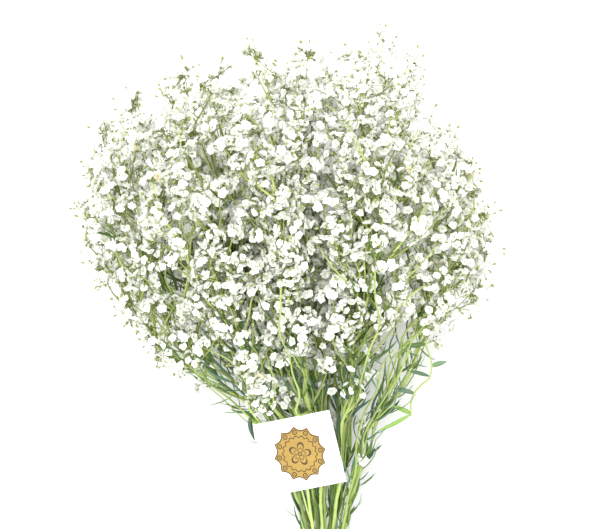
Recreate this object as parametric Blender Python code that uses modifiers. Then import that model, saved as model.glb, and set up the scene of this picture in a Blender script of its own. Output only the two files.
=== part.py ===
"""A tied bunch of double white gypsophila, lying on its side.

The stems run along +Y from their cut ends to the flowering head, and +Z is up. Every stem
grows in a wedge of its own, so no two stems cross. Sizes are in metres, angles in degrees.
"""

import math
import random

import bmesh
import bpy
import numpy as np
from mathutils import Matrix

# The outline of the bunch, as a fan that opens above the tie.
TIE_HALF_WIDTH = 0.0110
TIE_HALF_DEPTH = 0.0095
REACH = 0.455
REACH_PEAK, REACH_PEAK_AT, REACH_PEAK_WIDTH = 0.024, 0.36, 0.15
REACH_LOSS_RIGHT = 0.035
REACH_LOSS_SIDES = 0.110
REACH_LOSS_SIDES_POWER = 3.5
REACH_LOSS_DEPTH = 0.28
FAN_LEFT_LOW, FAN_LEFT_HIGH = -15.0, -35.0
FAN_RIGHT_LOW, FAN_RIGHT_HIGH = 15.0, 24.5
FAN_UP_LOW, FAN_UP_HIGH = 9.5, 15.5
FAN_DOWN_LOW, FAN_DOWN_HIGH = 8.0, 12.0
FAN_OPENS_FROM, FAN_OPENS_TO = 0.22, 0.62
LEAN = 0.185
CUT_LENGTH = 0.080
CUT_SPLAY = 0.25
CUT_STAGGER = 0.012

# The stems.
STEM_COUNT = 18
STEM_SPIRAL_START = 1.35
STEM_GAP = 0.0003
STEM_RADIUS_MOST = 0.0023
STEM_STEP = 0.060
STEM_STUB = 0.004
TWIG_RADIUS = 0.00058
TWIG_THICKENING = 0.38
TWIG_SHARE_OF_PARENT = 0.62
TWIG_ROOT = 0.007
TWIG_STEP = 0.085
FORK_SHARES = (0.15, 0.34, 0.52, 0.58, 0.60, 0.60)
FORK_BELOW_BLOOM = 0.030
SHORTEST_RUN = 0.006
EVEN_SPLIT_UNDER = 4
GROWTH_SEED = 100

# The florets, larger than life so that they cover the head.
FLORET_RADIUS = 0.0135
FLORET_SMALLEST = 0.88
FLORET_PETALS = 5
FLORET_CALYX = 0.12
OUTER_PETAL_HEIGHT, INNER_PETAL_HEIGHT, HEART_HEIGHT = 0.28, 0.70, 0.52
INNER_PETAL_REACH = 0.82
FLORET_CLEARANCE = 0.0142
FACING_ASIDE, FACING_ALONG, FACING_RANDOM = 2.0, 0.45, 0.40
FACING_FORWARD = 0.25
FLORET_SPACING = 0.0250
FLORET_SPACING_INSIDE = 0.055
FLORET_TRIES = 20000
FLORET_SEED = 21
SHELL = 0.80
LOWEST_BLOOM_OUTSIDE = 0.47
LOWEST_BLOOM_LEFT, LOWEST_BLOOM_RIGHT = 0.60, 0.78
LOWEST_BLOOM_INSIDE = 0.66
FOOT_HEIGHT = 0.62
FOOT_PRESSED = 0.56
FOOT_BAND = 0.0040

# The leaves, in pairs up each stem.
LEAF_LENGTH = (0.026, 0.040)
LEAF_WIDTH = 0.0054
LEAF_THICKNESS = 0.0013
LEAF_WIDEST = 0.42
LEAF_ARCH = 0.06
LEAF_SPREAD = 0.17
LEAF_CLEARANCE = 0.0036
LEAFY_FROM = 0.70
LEAF_LEVELS_OUTSIDE = (0.14, 0.22, 0.31, 0.40)
LEAF_LEVELS_INSIDE = (0.20, 0.34)

# The bent side shoot at the right, as points of the front view measured from the tie.
SHOOT_STEM = "stem_11"
SHOOT_LEVEL = 0.60
SHOOT_ROUTE = (
    (0.0870, 0.2240),
    (0.0900, 0.2060),
    (0.0940, 0.1860),
    (0.0915, 0.1790),
    (0.0830, 0.1725),
    (0.0745, 0.1640),
    (0.0715, 0.1550),
    (0.0735, 0.1450),
)
SHOOT_RADIUS = 0.0008
SHOOT_DROP = 0.0018
SHOOT_LEAF_ROOT = 0.15
SHOOT_LEAVES = (
    (2, (0.0715, 0.2070)),
    (3, (0.1080, 0.1930)),
    (4, (0.0700, 0.1850)),
    (6, (0.0580, 0.1700)),
    (8, (0.0560, 0.1540)),
    (8, (0.0480, 0.1320)),
)

# The tie and the card.
TWINE_RADIUS = 0.0012
TWINE_TURNS = 3
TIE_CLEARANCE = 0.0003
TIE_STEPS = 22
KNOT_RADIUS = 0.0032
CARD_WIDTH, CARD_HEIGHT = 0.067, 0.0715
CARD_THICKNESS = 0.0008
CARD_CENTRE = (-0.0213, 0.1140)
CARD_TURN = 12.5
CARD_RISE = 0.42
CARD_CLEARANCE = 0.0003
CARD_SAMPLES = 15
CARD_FOOTPRINT = 0.060
EMBLEM_HALF_WIDTH, EMBLEM_HALF_HEIGHT = 0.0225, 0.0270
EMBLEM_THICKNESS = 0.0006
EMBLEM_GAP = 0.0001
EMBLEM_LOBES = 12
EMBLEM_LOBE_DEPTH = 0.13
EMBLEM_POINTS_PER_LOBE = 5

# After a union, faces that meet at less than this angle are made one.
FLAT_ANGLE = 0.3


def clear_scene():
    """Removes whatever the scene starts with."""
    for item in list(bpy.data.objects):
        bpy.data.objects.remove(item, do_unlink=True)


def material(name, colour, roughness, metallic=0.0):
    """A plain finish in one colour."""
    made = bpy.data.materials.new(name)
    made.use_nodes = True
    shader = made.node_tree.nodes["Principled BSDF"]
    shader.inputs["Base Color"].default_value = (*colour, 1.0)
    shader.inputs["Roughness"].default_value = roughness
    shader.inputs["Metallic"].default_value = metallic
    return made


def smooth(value, low, high):
    """0 below low and 1 above high, with a smooth step between them."""
    share = np.clip((value - low) / (high - low), 0.0, 1.0)
    return share * share * (3.0 - 2.0 * share)


def place(across, depth, along):
    """The point of the bunch at a place in its cross-section and a share of its length.

    across and depth run from -1 to 1 over a round cross-section. along is 0 at the tie, 1 at
    the head's surface and negative towards the cut ends.
    """
    opening = smooth(along, FAN_OPENS_FROM, FAN_OPENS_TO)
    left = FAN_LEFT_LOW + (FAN_LEFT_HIGH - FAN_LEFT_LOW) * opening
    right = FAN_RIGHT_LOW + (FAN_RIGHT_HIGH - FAN_RIGHT_LOW) * opening
    up = FAN_UP_LOW + (FAN_UP_HIGH - FAN_UP_LOW) * opening
    down = FAN_DOWN_LOW + (FAN_DOWN_HIGH - FAN_DOWN_LOW) * opening
    level = smooth(depth, -1.0, 1.0)
    sideways = np.radians((left + right) / 2 + across * (right - left) / 2)
    upward = np.radians(depth * (down + (up - down) * level))
    loss_right = REACH_LOSS_RIGHT * np.maximum(across, 0.0)
    loss_sides = REACH_LOSS_SIDES * np.abs(across) ** REACH_LOSS_SIDES_POWER
    peak = REACH_PEAK * np.exp(-(((across - REACH_PEAK_AT) / REACH_PEAK_WIDTH) ** 2))
    reach = (REACH + peak - loss_right - loss_sides) * (1.0 - REACH_LOSS_DEPTH * depth * depth)
    length = np.maximum(along, 0.0) * reach
    below = np.minimum(along, 0.0) * REACH
    wide = 1.0 - CUT_SPLAY * below / CUT_LENGTH
    x = across * TIE_HALF_WIDTH * wide + length * np.sin(sideways) * np.cos(upward)
    y = below + length * np.cos(sideways) * np.cos(upward)
    z = depth * TIE_HALF_DEPTH * wide + length * np.sin(upward)
    return np.stack([x, y, z + LEAN * y], axis=-1)


def stem_seeds():
    """The places of the stems in the cross-section: a sunflower's spiral, evenly filled."""
    index = np.arange(STEM_COUNT)
    radius = np.sqrt((index + 0.5) / STEM_COUNT)
    turn = STEM_SPIRAL_START + index * math.pi * (3.0 - math.sqrt(5.0))
    return np.stack([radius * np.cos(turn), radius * np.sin(turn)], axis=-1)


def stem_radii(seeds):
    """The stems' thicknesses at the tie, where each is as thick as its neighbours let it be."""
    flat = seeds * (TIE_HALF_WIDTH, TIE_HALF_DEPTH)
    room = np.linalg.norm(flat[:, None] - flat[None], axis=-1) - STEM_GAP
    np.fill_diagonal(room, np.inf)
    radii = np.minimum(room.min(axis=1) / 2, STEM_RADIUS_MOST)
    for index, row in enumerate(room):
        radii[index] = min((row - radii).min(), STEM_RADIUS_MOST)
    return radii


def slopes(across, depth, along):
    """How far the point moves for each of the three shares, as a matrix for each point."""
    step = 1e-4
    columns = [
        place(across + step, depth, along) - place(across - step, depth, along),
        place(across, depth + step, along) - place(across, depth - step, along),
        place(across, depth, along + step) - place(across, depth, along - step),
    ]
    return np.stack(columns, axis=-1) / (2 * step)


def wedges(seeds, across, depth, along):
    """The stem in whose wedge each point lies, and how far it is from the wedge's sides."""
    points = np.stack([across, depth], axis=-1)
    rows = np.arange(len(points))
    squared = ((points[:, None, :] - seeds[None]) ** 2).sum(axis=-1)
    owner = squared.argmin(axis=1)
    between = seeds[owner][:, None, :] - seeds[None]
    apart = np.linalg.norm(between, axis=-1)
    apart[rows, owner] = np.inf
    flat = (squared - squared[rows, owner][:, None]) / (2 * apart)
    inverse = np.linalg.inv(slopes(across, depth, along))
    across_wedge = between / apart[..., None]
    steepness = np.linalg.norm(np.einsum("nji,nkj->nki", inverse[:, :2, :], across_wedge), axis=-1)
    away = flat / np.maximum(steepness, 1e-9)
    away[rows, owner] = np.inf
    return owner, away.min(axis=1)


def floret_places(seeds, draw):
    """Evenly spread places for the florets, each well inside one stem's wedge.

    They are thrown at random and kept where there is room, closely in the head's outer shell
    and thinly inside it.
    """
    throws = np.array([[draw.random() for _ in range(3)] for _ in range(FLORET_TRIES)])
    radius = np.sqrt(throws[:, 0])
    turn = throws[:, 1] * 2 * math.pi
    across, depth = radius * np.cos(turn), radius * np.sin(turn)
    inside = smooth(-radius, -1.0, -0.55)
    at_side = np.where(across < 0.0, LOWEST_BLOOM_LEFT, LOWEST_BLOOM_RIGHT)
    outside = LOWEST_BLOOM_OUTSIDE + (at_side - LOWEST_BLOOM_OUTSIDE) * across**2
    lowest = outside + (LOWEST_BLOOM_INSIDE - outside) * inside
    along = lowest + (1.0 - lowest) * np.sqrt(throws[:, 2])
    owner, away = wedges(seeds, across, depth, along)
    points = place(across, depth, along)
    outerness = np.maximum(radius, 2.0 * along - 1.0)
    hidden = np.clip((SHELL - outerness) / SHELL, 0.0, 1.0)
    spacing = FLORET_SPACING + (FLORET_SPACING_INSIDE - FLORET_SPACING) * hidden
    kept = []
    for index in np.flatnonzero(away > FLORET_CLEARANCE):
        distance = np.linalg.norm(points[kept] - points[index], axis=1)
        if (distance > spacing[index]).all():
            kept.append(int(index))
    return owner[kept], np.stack([across, depth, along], axis=-1)[kept]


class Twig:
    """A run of a stem from where it forks off to its floret, as places and thicknesses."""

    def __init__(self, start, radius):
        self.places = [start]
        self.radii = [radius]

    def add(self, spot, radius):
        self.places.append(spot)
        self.radii.append(radius)

    def points(self):
        return place(*np.array(self.places).T)


def grow(start, florets, level, twig, twigs, draw):
    """Lengthens the twig to one of its florets and forks the others off on the way.

    The florets are parted in two across their widest spread. The larger group is followed, and
    the smaller one gets a side twig, which forks in the same way.
    """
    if len(florets) == 1:
        twig.add(florets[0], TWIG_RADIUS)
        return
    world = place(*florets.T)
    order = np.argsort(world[:, np.ptp(world, axis=0).argmax()], kind="stable")
    share = 0.5 if len(florets) < EVEN_SPLIT_UNDER else draw.uniform(0.36, 0.64)
    cut = min(max(round(share * len(florets)), 1), len(florets) - 1)
    smaller, larger = sorted((florets[order[:cut]], florets[order[cut:]]), key=len)
    reach = FORK_SHARES[min(level, len(FORK_SHARES) - 1)] * draw.uniform(0.85, 1.15)
    fork = start + reach * (florets.mean(axis=0) - start)
    top = max(florets[:, 2].min() - FORK_BELOW_BLOOM, start[2] + SHORTEST_RUN)
    if fork[2] > top:
        fork = start + (fork - start) * (top - start[2]) / (fork[2] - start[2])
    radius = min(TWIG_RADIUS * len(florets) ** TWIG_THICKENING, twig.radii[-1])
    side_radius = min(TWIG_RADIUS * len(smaller) ** TWIG_THICKENING, radius * TWIG_SHARE_OF_PARENT)
    twig.add(fork, radius)
    side = Twig(fork, side_radius)
    twigs.append(side)
    grow(fork, larger, level + 1, twig, twigs, draw)
    grow(fork, smaller, level + 1, side, twigs, draw)


def parted(twig, step):
    """The twig with its long runs parted."""
    fine = Twig(twig.places[0], twig.radii[0])
    for index in range(len(twig.places) - 1):
        first, last = twig.places[index], twig.places[index + 1]
        thick, thin = twig.radii[index], twig.radii[index + 1]
        runs = max(round(np.linalg.norm(place(*last) - place(*first)) / step), 1)
        for run in range(1, runs + 1):
            fine.add(first + (last - first) * run / runs, thick + (thin - thick) * run / runs)
    return fine


def frames(points):
    """A side, a front and a forward direction at each point of a path, turned as little as possible."""
    ways = np.gradient(np.array(points), axis=0)
    ways /= np.linalg.norm(ways, axis=1, keepdims=True)
    side = np.cross(ways[0], (0.0, 0.0, 1.0))
    found = []
    for way in ways:
        side = side - way * side.dot(way)
        side /= np.linalg.norm(side)
        found.append((side, np.cross(way, side), way))
    return found


def ring(centre, frame, radii, heights, turn):
    """Points round a centre, each with its own radius and its own height along the way."""
    side, front, way = frame
    angles = turn + np.arange(len(radii)) * 2 * math.pi / len(radii)
    outward = np.outer(np.cos(angles), side) + np.outer(np.sin(angles), front)
    return centre + outward * np.array(radii)[:, None] + np.outer(heights, way)


def even_ring(centre, frame, radius, sides, turn):
    return ring(centre, frame, [radius] * sides, [0.0] * sides, turn)


def between_rings(low, low_count, high, high_count):
    """The triangles between a ring and the next, stepping round whichever ring lags behind."""
    low_steps = low_count if low_count > 1 else 0
    high_steps = high_count if high_count > 1 else 0
    faces = []
    i = j = 0
    while i < low_steps or j < high_steps:
        low_next = (i + 1) / low_steps if i < low_steps else math.inf
        high_next = (j + 1) / high_steps if j < high_steps else math.inf
        if low_next <= high_next:
            faces.append((low + i, low + (i + 1) % low_count, high + j % high_count))
            i += 1
        else:
            faces.append((low + i % low_count, high + (j + 1) % high_count, high + j))
            j += 1
    return faces


def loft(name, rings):
    """A closed skin over rings with unlike numbers of points; a ring of one point is a tip."""
    rings = [np.atleast_2d(one) for one in rings]
    firsts = np.cumsum([0] + [len(one) for one in rings]).tolist()
    faces = []
    for low, high, end in zip(firsts, firsts[1:], firsts[2:]):
        faces += between_rings(low, high - low, high, end - high)
    if len(rings[0]) > 2:
        faces.append(list(range(firsts[1])))
    if len(rings[-1]) > 2:
        faces.append(list(range(firsts[-2], firsts[-1])))
    mesh = bpy.data.meshes.new(name)
    mesh.from_pydata(np.concatenate(rings).tolist(), [], faces)
    return faced_outwards(bpy.data.objects.new(name, mesh))


def faced_outwards(solid, weld=0.0):
    """Turns the solid's faces outwards, after welding what lies within the given distance."""
    shell = bmesh.new()
    shell.from_mesh(solid.data)
    if weld:
        bmesh.ops.remove_doubles(shell, verts=shell.verts, dist=weld)
    bmesh.ops.recalc_face_normals(shell, faces=shell.faces)
    shell.to_mesh(solid.data)
    shell.free()
    return solid


def evaluated(solid):
    """A plain mesh object in place of one with modifiers or of a curve, in world space."""
    graph = bpy.context.evaluated_depsgraph_get()
    mesh = bpy.data.meshes.new_from_object(solid.evaluated_get(graph))
    mesh.transform(solid.matrix_world)
    name = solid.name
    bpy.data.objects.remove(solid, do_unlink=True)
    return bpy.data.objects.new(name, mesh)


def floret_rings(base, calyx_frame, frame, radius, turn):
    """A double floret: long outer petals, short inner ones between them, and a sunken heart."""
    count = FLORET_PETALS
    reaches = np.array([1.0, INNER_PETAL_REACH] * count) * radius
    heights = np.array([OUTER_PETAL_HEIGHT, INNER_PETAL_HEIGHT] * count) * radius
    heart = base + frame[2] * HEART_HEIGHT * radius
    return [
        even_ring(base, calyx_frame, FLORET_CALYX * radius, 3, turn),
        ring(base, frame, reaches, heights, turn),
        heart,
    ]


def foot_rings(base, calyx_frame, frame, radius, turn):
    """A floret that bears on the surface, pressed flat across its inner petals."""
    count = FLORET_PETALS
    reaches = np.array([1.0, INNER_PETAL_REACH] * count) * radius
    heights = np.full(2 * count, OUTER_PETAL_HEIGHT * radius)
    pressed = base + frame[2] * FOOT_HEIGHT * radius
    return [
        even_ring(base, calyx_frame, FLORET_CALYX * radius, 3, turn),
        ring(base, frame, reaches, heights, turn),
        even_ring(pressed, frame, FOOT_PRESSED * radius, count, turn + math.pi / count),
    ]


def turned_frame(frame, way):
    """The frame turned, as little as possible, to face another way."""
    way = way / np.linalg.norm(way)
    side = frame[0] - way * frame[0].dot(way)
    side /= np.linalg.norm(side)
    return side, np.cross(way, side), way


def facing(spot, way, draw):
    """The way a floret faces: out of the head where it lies near its surface, with some chance.

    It never turns back against the way of its stalk.
    """
    across, depth, along = spot
    here = place(across, depth, along)
    aside = place(across * 1.01, depth * 1.01, along) - here
    onward = place(across, depth, along + 0.01) - here
    chance = np.array([draw.uniform(-1.0, 1.0) for _ in range(3)])
    aside *= FACING_ASIDE * (across * across + depth * depth) / np.linalg.norm(aside)
    onward *= FACING_ALONG / np.linalg.norm(onward)
    faced = aside + onward + FACING_RANDOM * chance
    faced /= np.linalg.norm(faced)
    forward = faced.dot(way)
    if forward < FACING_FORWARD:
        level = faced - way * forward
        level /= np.linalg.norm(level)
        faced = way * FACING_FORWARD + level * math.sqrt(1.0 - FACING_FORWARD**2)
    return faced


def twig_solid(name, twig, floor, draw):
    """A side branch from a pointed root inside its parent to its floret.

    A floret low enough to touch the surface under the bunch is pressed on to it.
    """
    fine = parted(twig, TWIG_STEP)
    points, radii = list(fine.points()), fine.radii
    turn = draw.uniform(0.0, 2 * math.pi)
    radius = FLORET_RADIUS * draw.uniform(FLORET_SMALLEST, 1.0)
    foot = points[-1][2] - radius < floor + FOOT_BAND
    if foot:
        points[-1] = np.array([*points[-1][:2], floor + FOOT_HEIGHT * radius])
    way = points[1] - points[0]
    root = points[0] + way * min(TWIG_ROOT / np.linalg.norm(way), 0.5)
    points.insert(1, root)
    radii.insert(1, radii[0])
    around = frames(points)
    rings = [points[0]]
    rings += [even_ring(points[i], around[i], radii[i], 3, turn) for i in range(1, len(points) - 1)]
    way = around[-1][2]
    faced = np.array((0.0, 0.0, -1.0)) if foot else facing(twig.places[-1], way, draw)
    bent = turned_frame(around[-1], way + faced)
    turned = turned_frame(around[-1], faced)
    rings += (foot_rings if foot else floret_rings)(points[-1], bent, turned, radius, turn)
    return loft(name, rings)


def round_bar(name, points, radii):
    """A round bar as a curve with filled ends, made a mesh with its caps welded."""
    curve = bpy.data.curves.new(name, "CURVE")
    curve.dimensions = "3D"
    curve.bevel_depth = 1.0
    curve.bevel_resolution = 1
    curve.use_fill_caps = True
    spline = curve.splines.new("POLY")
    spline.points.add(len(points) - 1)
    for target, point, radius in zip(spline.points, points, radii):
        target.co = (*point, 1.0)
        target.radius = radius
    guide = bpy.data.objects.new(name, curve)
    bpy.context.scene.collection.objects.link(guide)
    return faced_outwards(evaluated(guide), weld=1e-6)


def leaf_solid(name, root, tip, outward):
    """A narrow keeled blade from its root to its tip, hollow towards the stem."""
    way = tip - root
    length = np.linalg.norm(way)
    way = way / length
    side = np.cross(way, outward)
    side /= np.linalg.norm(side)
    back = np.cross(side, way)
    if back.dot(outward) < 0.0:
        back = -back
    middle = root + way * LEAF_WIDEST * length + back * LEAF_ARCH * length
    half = side * LEAF_WIDTH / 2
    blade = np.array([middle + half, middle - half, middle + back * LEAF_THICKNESS])
    return loft(name, [root, blade, tip])


def under_card(point):
    """Whether the point lies below the card as seen from above."""
    return np.abs(point[:2] - CARD_CENTRE).max() < CARD_FOOTPRINT


def leaf_pairs(seed, seeds, leader, draw):
    """Roots, tips and outward directions of a stem's leaves, in pairs at right angles to the next."""
    levels = LEAF_LEVELS_OUTSIDE if np.hypot(*seed) > LEAFY_FROM else LEAF_LEVELS_INSIDE
    spots, points = np.array(leader.places), leader.points()
    turn = draw.uniform(0.0, math.pi)
    found = []
    for level in levels:
        level += draw.uniform(-0.015, 0.015)
        turn += math.pi / 2 + draw.uniform(-0.3, 0.3)
        for half_turn in (0.0, math.pi):
            length = draw.uniform(*LEAF_LENGTH)
            offset = LEAF_SPREAD * draw.uniform(0.7, 1.1)
            spot = np.array([np.interp(level, spots[:, 2], spots[:, axis]) for axis in range(3)])
            root = np.array([np.interp(level, spots[:, 2], points[:, axis]) for axis in range(3)])
            for _ in range(8):
                aside = np.array([math.cos(turn + half_turn), math.sin(turn + half_turn)]) * offset
                tip = spot + np.array([*aside, length / REACH])
                owner, away = wedges(seeds, *tip[:, None])
                if away[0] > LEAF_CLEARANCE and np.allclose(seeds[owner[0]], seed):
                    if aside[1] < 0.0 or not under_card(place(*tip)):
                        outward = place(*tip) - place(spot[0], spot[1], tip[2])
                        found.append((root, place(*tip), outward))
                    break
                offset *= 0.7
    return found


def largest_shell(mesh):
    """Keeps the outer skin, so that sealed hollows are filled and loose scraps are dropped."""
    shell = bmesh.new()
    shell.from_mesh(mesh)
    left = set(shell.faces)
    islands = []
    while left:
        island, edge = set(), [left.pop()]
        while edge:
            face = edge.pop()
            island.add(face)
            near = {other for side in face.edges for other in side.link_faces} & left
            left -= near
            edge += near
        islands.append(island)
    largest = max(islands, key=len)
    extra = [face for island in islands if island is not largest for face in island]
    bmesh.ops.delete(shell, geom=extra, context="FACES")
    shell.to_mesh(mesh)
    shell.free()


def fuse(name, solids):
    """One solid from many: a Boolean union on a collection, applied, its objects then removed."""
    body, others = solids[0], solids[1:]
    body.name = name
    bpy.context.scene.collection.objects.link(body)
    pieces = bpy.data.collections.new(name + "_pieces")
    bpy.context.scene.collection.children.link(pieces)
    for other in others:
        pieces.objects.link(other)
    union = body.modifiers.new("union", "BOOLEAN")
    union.operation = "UNION"
    union.operand_type = "COLLECTION"
    union.collection = pieces
    union.solver = "MANIFOLD"
    flat = body.modifiers.new("flat", "DECIMATE")
    flat.decimate_type = "DISSOLVE"
    flat.angle_limit = math.radians(FLAT_ANGLE)
    fused = evaluated(body)
    for other in others:
        bpy.data.objects.remove(other, do_unlink=True)
    bpy.data.collections.remove(pieces)
    fused.name = name
    largest_shell(fused.data)
    return fused


def shoot_solids(name, leader):
    """The thin side shoot that bends down beside the bunch, with its leaves."""
    spots, points = np.array(leader.places), leader.points()
    route = [np.array([np.interp(SHOOT_LEVEL, spots[:, 2], points[:, axis]) for axis in range(3)])]
    for spot in SHOOT_ROUTE:
        route.append(np.array([*spot, route[-1][2] - SHOOT_DROP]))
    solids = [round_bar(name + "_shoot", route, [SHOOT_RADIUS] * len(route))]
    for index, (where, tip) in enumerate(SHOOT_LEAVES):
        tip = np.array([*tip, route[where][2] + SHOOT_DROP * (index % 2)])
        root = route[where] + (route[where - 1] - route[where]) * SHOOT_LEAF_ROOT
        solids.append(leaf_solid(f"{name}_shoot_leaf_{index}", root, tip, np.array((0.0, 0.0, -1.0))))
    return solids


def stem_solid(name, seed, seeds, florets, radius, floor, draw):
    """One flowering stem: its main stem, its side branches with their florets, and its leaves."""
    start = np.array([*seed, -(CUT_LENGTH - draw.uniform(0.0, CUT_STAGGER)) / REACH])
    leader = Twig(start, radius)
    leader.add(np.array([*seed, 0.0]), radius)
    twigs = []
    grow(leader.places[-1], florets, 0, leader, twigs, draw)
    crown = Twig(leader.places[-2], leader.radii[-2] * TWIG_SHARE_OF_PARENT)
    crown.add(leader.places.pop(), leader.radii.pop())
    stub = crown.places[1] - crown.places[0]
    leader.add(crown.places[0] + stub * STEM_STUB / (stub[2] * REACH), leader.radii[-1])
    leader = parted(leader, STEM_STEP)
    solids = [round_bar(name + "_main", leader.points(), leader.radii)]
    for index, twig in enumerate([crown, *twigs]):
        solids.append(twig_solid(f"{name}_twig_{index}", twig, floor, draw))
    for index, leaf in enumerate(leaf_pairs(seed, seeds, leader, draw)):
        solids.append(leaf_solid(f"{name}_leaf_{index}", *leaf))
    if name == SHOOT_STEM:
        solids += shoot_solids(name, leader)
    return fuse(name, solids)


def tie_solid(radii):
    """Three turns of twine side by side and their knot, just below where the fan opens."""
    widest = 1.0 + CUT_SPLAY * 2 * TWINE_TURNS * TWINE_RADIUS / CUT_LENGTH
    margin = radii.max() + TIE_CLEARANCE
    half_width = TIE_HALF_WIDTH * widest + margin
    half_depth = TIE_HALF_DEPTH * widest + margin
    profile = bmesh.new()
    outline = [(half_width, TWINE_RADIUS * TWINE_TURNS), (half_width, -TWINE_RADIUS * TWINE_TURNS)]
    for turn in range(TWINE_TURNS):
        middle = (2 * turn + 1 - TWINE_TURNS) * TWINE_RADIUS
        outline += [
            (half_width + 1.7 * TWINE_RADIUS, middle - 0.6 * TWINE_RADIUS),
            (half_width + 1.7 * TWINE_RADIUS, middle + 0.6 * TWINE_RADIUS),
        ]
        if turn < TWINE_TURNS - 1:
            outline.append((half_width + 1.1 * TWINE_RADIUS, middle + TWINE_RADIUS))
    corners = [profile.verts.new((x, y, 0.0)) for x, y in outline]
    for corner, following in zip(corners, corners[1:] + corners[:1]):
        profile.edges.new((corner, following))
    mesh = bpy.data.meshes.new("twine_tie")
    profile.to_mesh(mesh)
    profile.free()
    band = bpy.data.objects.new("twine_tie", mesh)
    bpy.context.scene.collection.objects.link(band)
    turned = band.modifiers.new("turned", "SCREW")
    turned.axis = "Y"
    turned.angle = 2 * math.pi
    turned.steps = turned.render_steps = TIE_STEPS
    turned.use_merge_vertices = True
    turned.merge_threshold = 0.00001
    band.scale = (1.0, 1.0, half_depth / half_width)
    band.rotation_euler = (math.atan(LEAN), 0.0, 0.0)
    middle = -(TWINE_TURNS * TWINE_RADIUS + TIE_CLEARANCE)
    band.location = (0.0, middle, LEAN * middle)
    bpy.context.view_layer.update()
    band = faced_outwards(evaluated(band), weld=1e-6)
    knot = bmesh.new()
    bmesh.ops.create_icosphere(knot, subdivisions=2, radius=KNOT_RADIUS)
    bmesh.ops.translate(knot, verts=knot.verts, vec=(0.0, middle, LEAN * middle + half_depth + KNOT_RADIUS))
    knot_mesh = bpy.data.meshes.new("knot")
    knot.to_mesh(knot_mesh)
    knot.free()
    return fuse("twine_tie", [band, bpy.data.objects.new("knot", knot_mesh)])


def card_frame(stems):
    """Where the card lies on the stems: its middle, and its turn as a rotation."""
    spin = math.radians(CARD_TURN)
    samples = []
    for stem in stems:
        corners = np.array([corner.co[:] for corner in stem.data.vertices])
        edges = np.array([edge.vertices[:] for edge in stem.data.edges])
        starts, ends = corners[edges[:, 0]], corners[edges[:, 1]]
        samples += [starts + (ends - starts) * share for share in np.linspace(0.0, 1.0, CARD_SAMPLES)]
    points = np.concatenate(samples)
    offset = points[:, :2] - CARD_CENTRE
    across = offset[:, 0] * math.cos(spin) + offset[:, 1] * math.sin(spin)
    upward = offset[:, 1] * math.cos(spin) - offset[:, 0] * math.sin(spin)
    under = (np.abs(across) < CARD_WIDTH / 2) & (np.abs(upward) < CARD_HEIGHT / 2)
    height = (points[under, 2] - CARD_RISE * offset[under, 1]).max()
    lift = (CARD_THICKNESS / 2 + CARD_CLEARANCE) * math.hypot(1.0, CARD_RISE)
    return (*CARD_CENTRE, height + lift), (math.atan(CARD_RISE), 0.0, spin)


def card_solid(middle, turn):
    """A nearly square card, flat and thin."""
    bpy.ops.mesh.primitive_cube_add(size=1.0)
    card = bpy.context.object
    card.name = "card"
    card.scale = (CARD_WIDTH, CARD_HEIGHT, CARD_THICKNESS)
    set_on_card(card, middle, turn, 0.0)
    return evaluated(card)


def set_on_card(solid, middle, turn, height):
    """Turns the solid in the card's plane, tilts it with the card, and lifts it off its middle."""
    tilt, _, spin = turn
    stretch = Matrix.Diagonal((*solid.scale, 1.0))
    tilted = Matrix.Rotation(tilt, 4, "X") @ Matrix.Rotation(spin, 4, "Z")
    lifted = Matrix.Translation((0.0, 0.0, height))
    solid.matrix_world = Matrix.Translation(middle) @ tilted @ lifted @ stretch
    bpy.context.view_layer.update()


def emblem_solid(middle, turn):
    """An oval foil emblem with lobes round its rim, lying on the card."""
    count = EMBLEM_LOBES * EMBLEM_POINTS_PER_LOBE
    angles = np.arange(count) * 2 * math.pi / count
    rim = 1.0 - EMBLEM_LOBE_DEPTH * np.abs(np.sin(angles * EMBLEM_LOBES / 2))
    curve = bpy.data.curves.new("card_emblem", "CURVE")
    curve.dimensions = "2D"
    curve.fill_mode = "BOTH"
    curve.extrude = EMBLEM_THICKNESS / 2
    spline = curve.splines.new("POLY")
    spline.points.add(count - 1)
    spline.use_cyclic_u = True
    for target, angle, reach in zip(spline.points, angles, rim):
        x, y = EMBLEM_HALF_WIDTH * math.cos(angle), EMBLEM_HALF_HEIGHT * math.sin(angle)
        target.co = (reach * x, reach * y, 0.0, 1.0)
    emblem = bpy.data.objects.new("card_emblem", curve)
    bpy.context.scene.collection.objects.link(emblem)
    set_on_card(emblem, middle, turn, (CARD_THICKNESS + EMBLEM_THICKNESS) / 2 + EMBLEM_GAP)
    return faced_outwards(evaluated(emblem), weld=1e-6)


def lowest_of_cut_ends(seeds, radii):
    """The height of the surface that the bunch lies on: under its lowest cut end."""
    along = np.full(len(seeds), -CUT_LENGTH / REACH)
    return float((place(*seeds.T, along)[:, 2] - radii).min())


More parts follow.
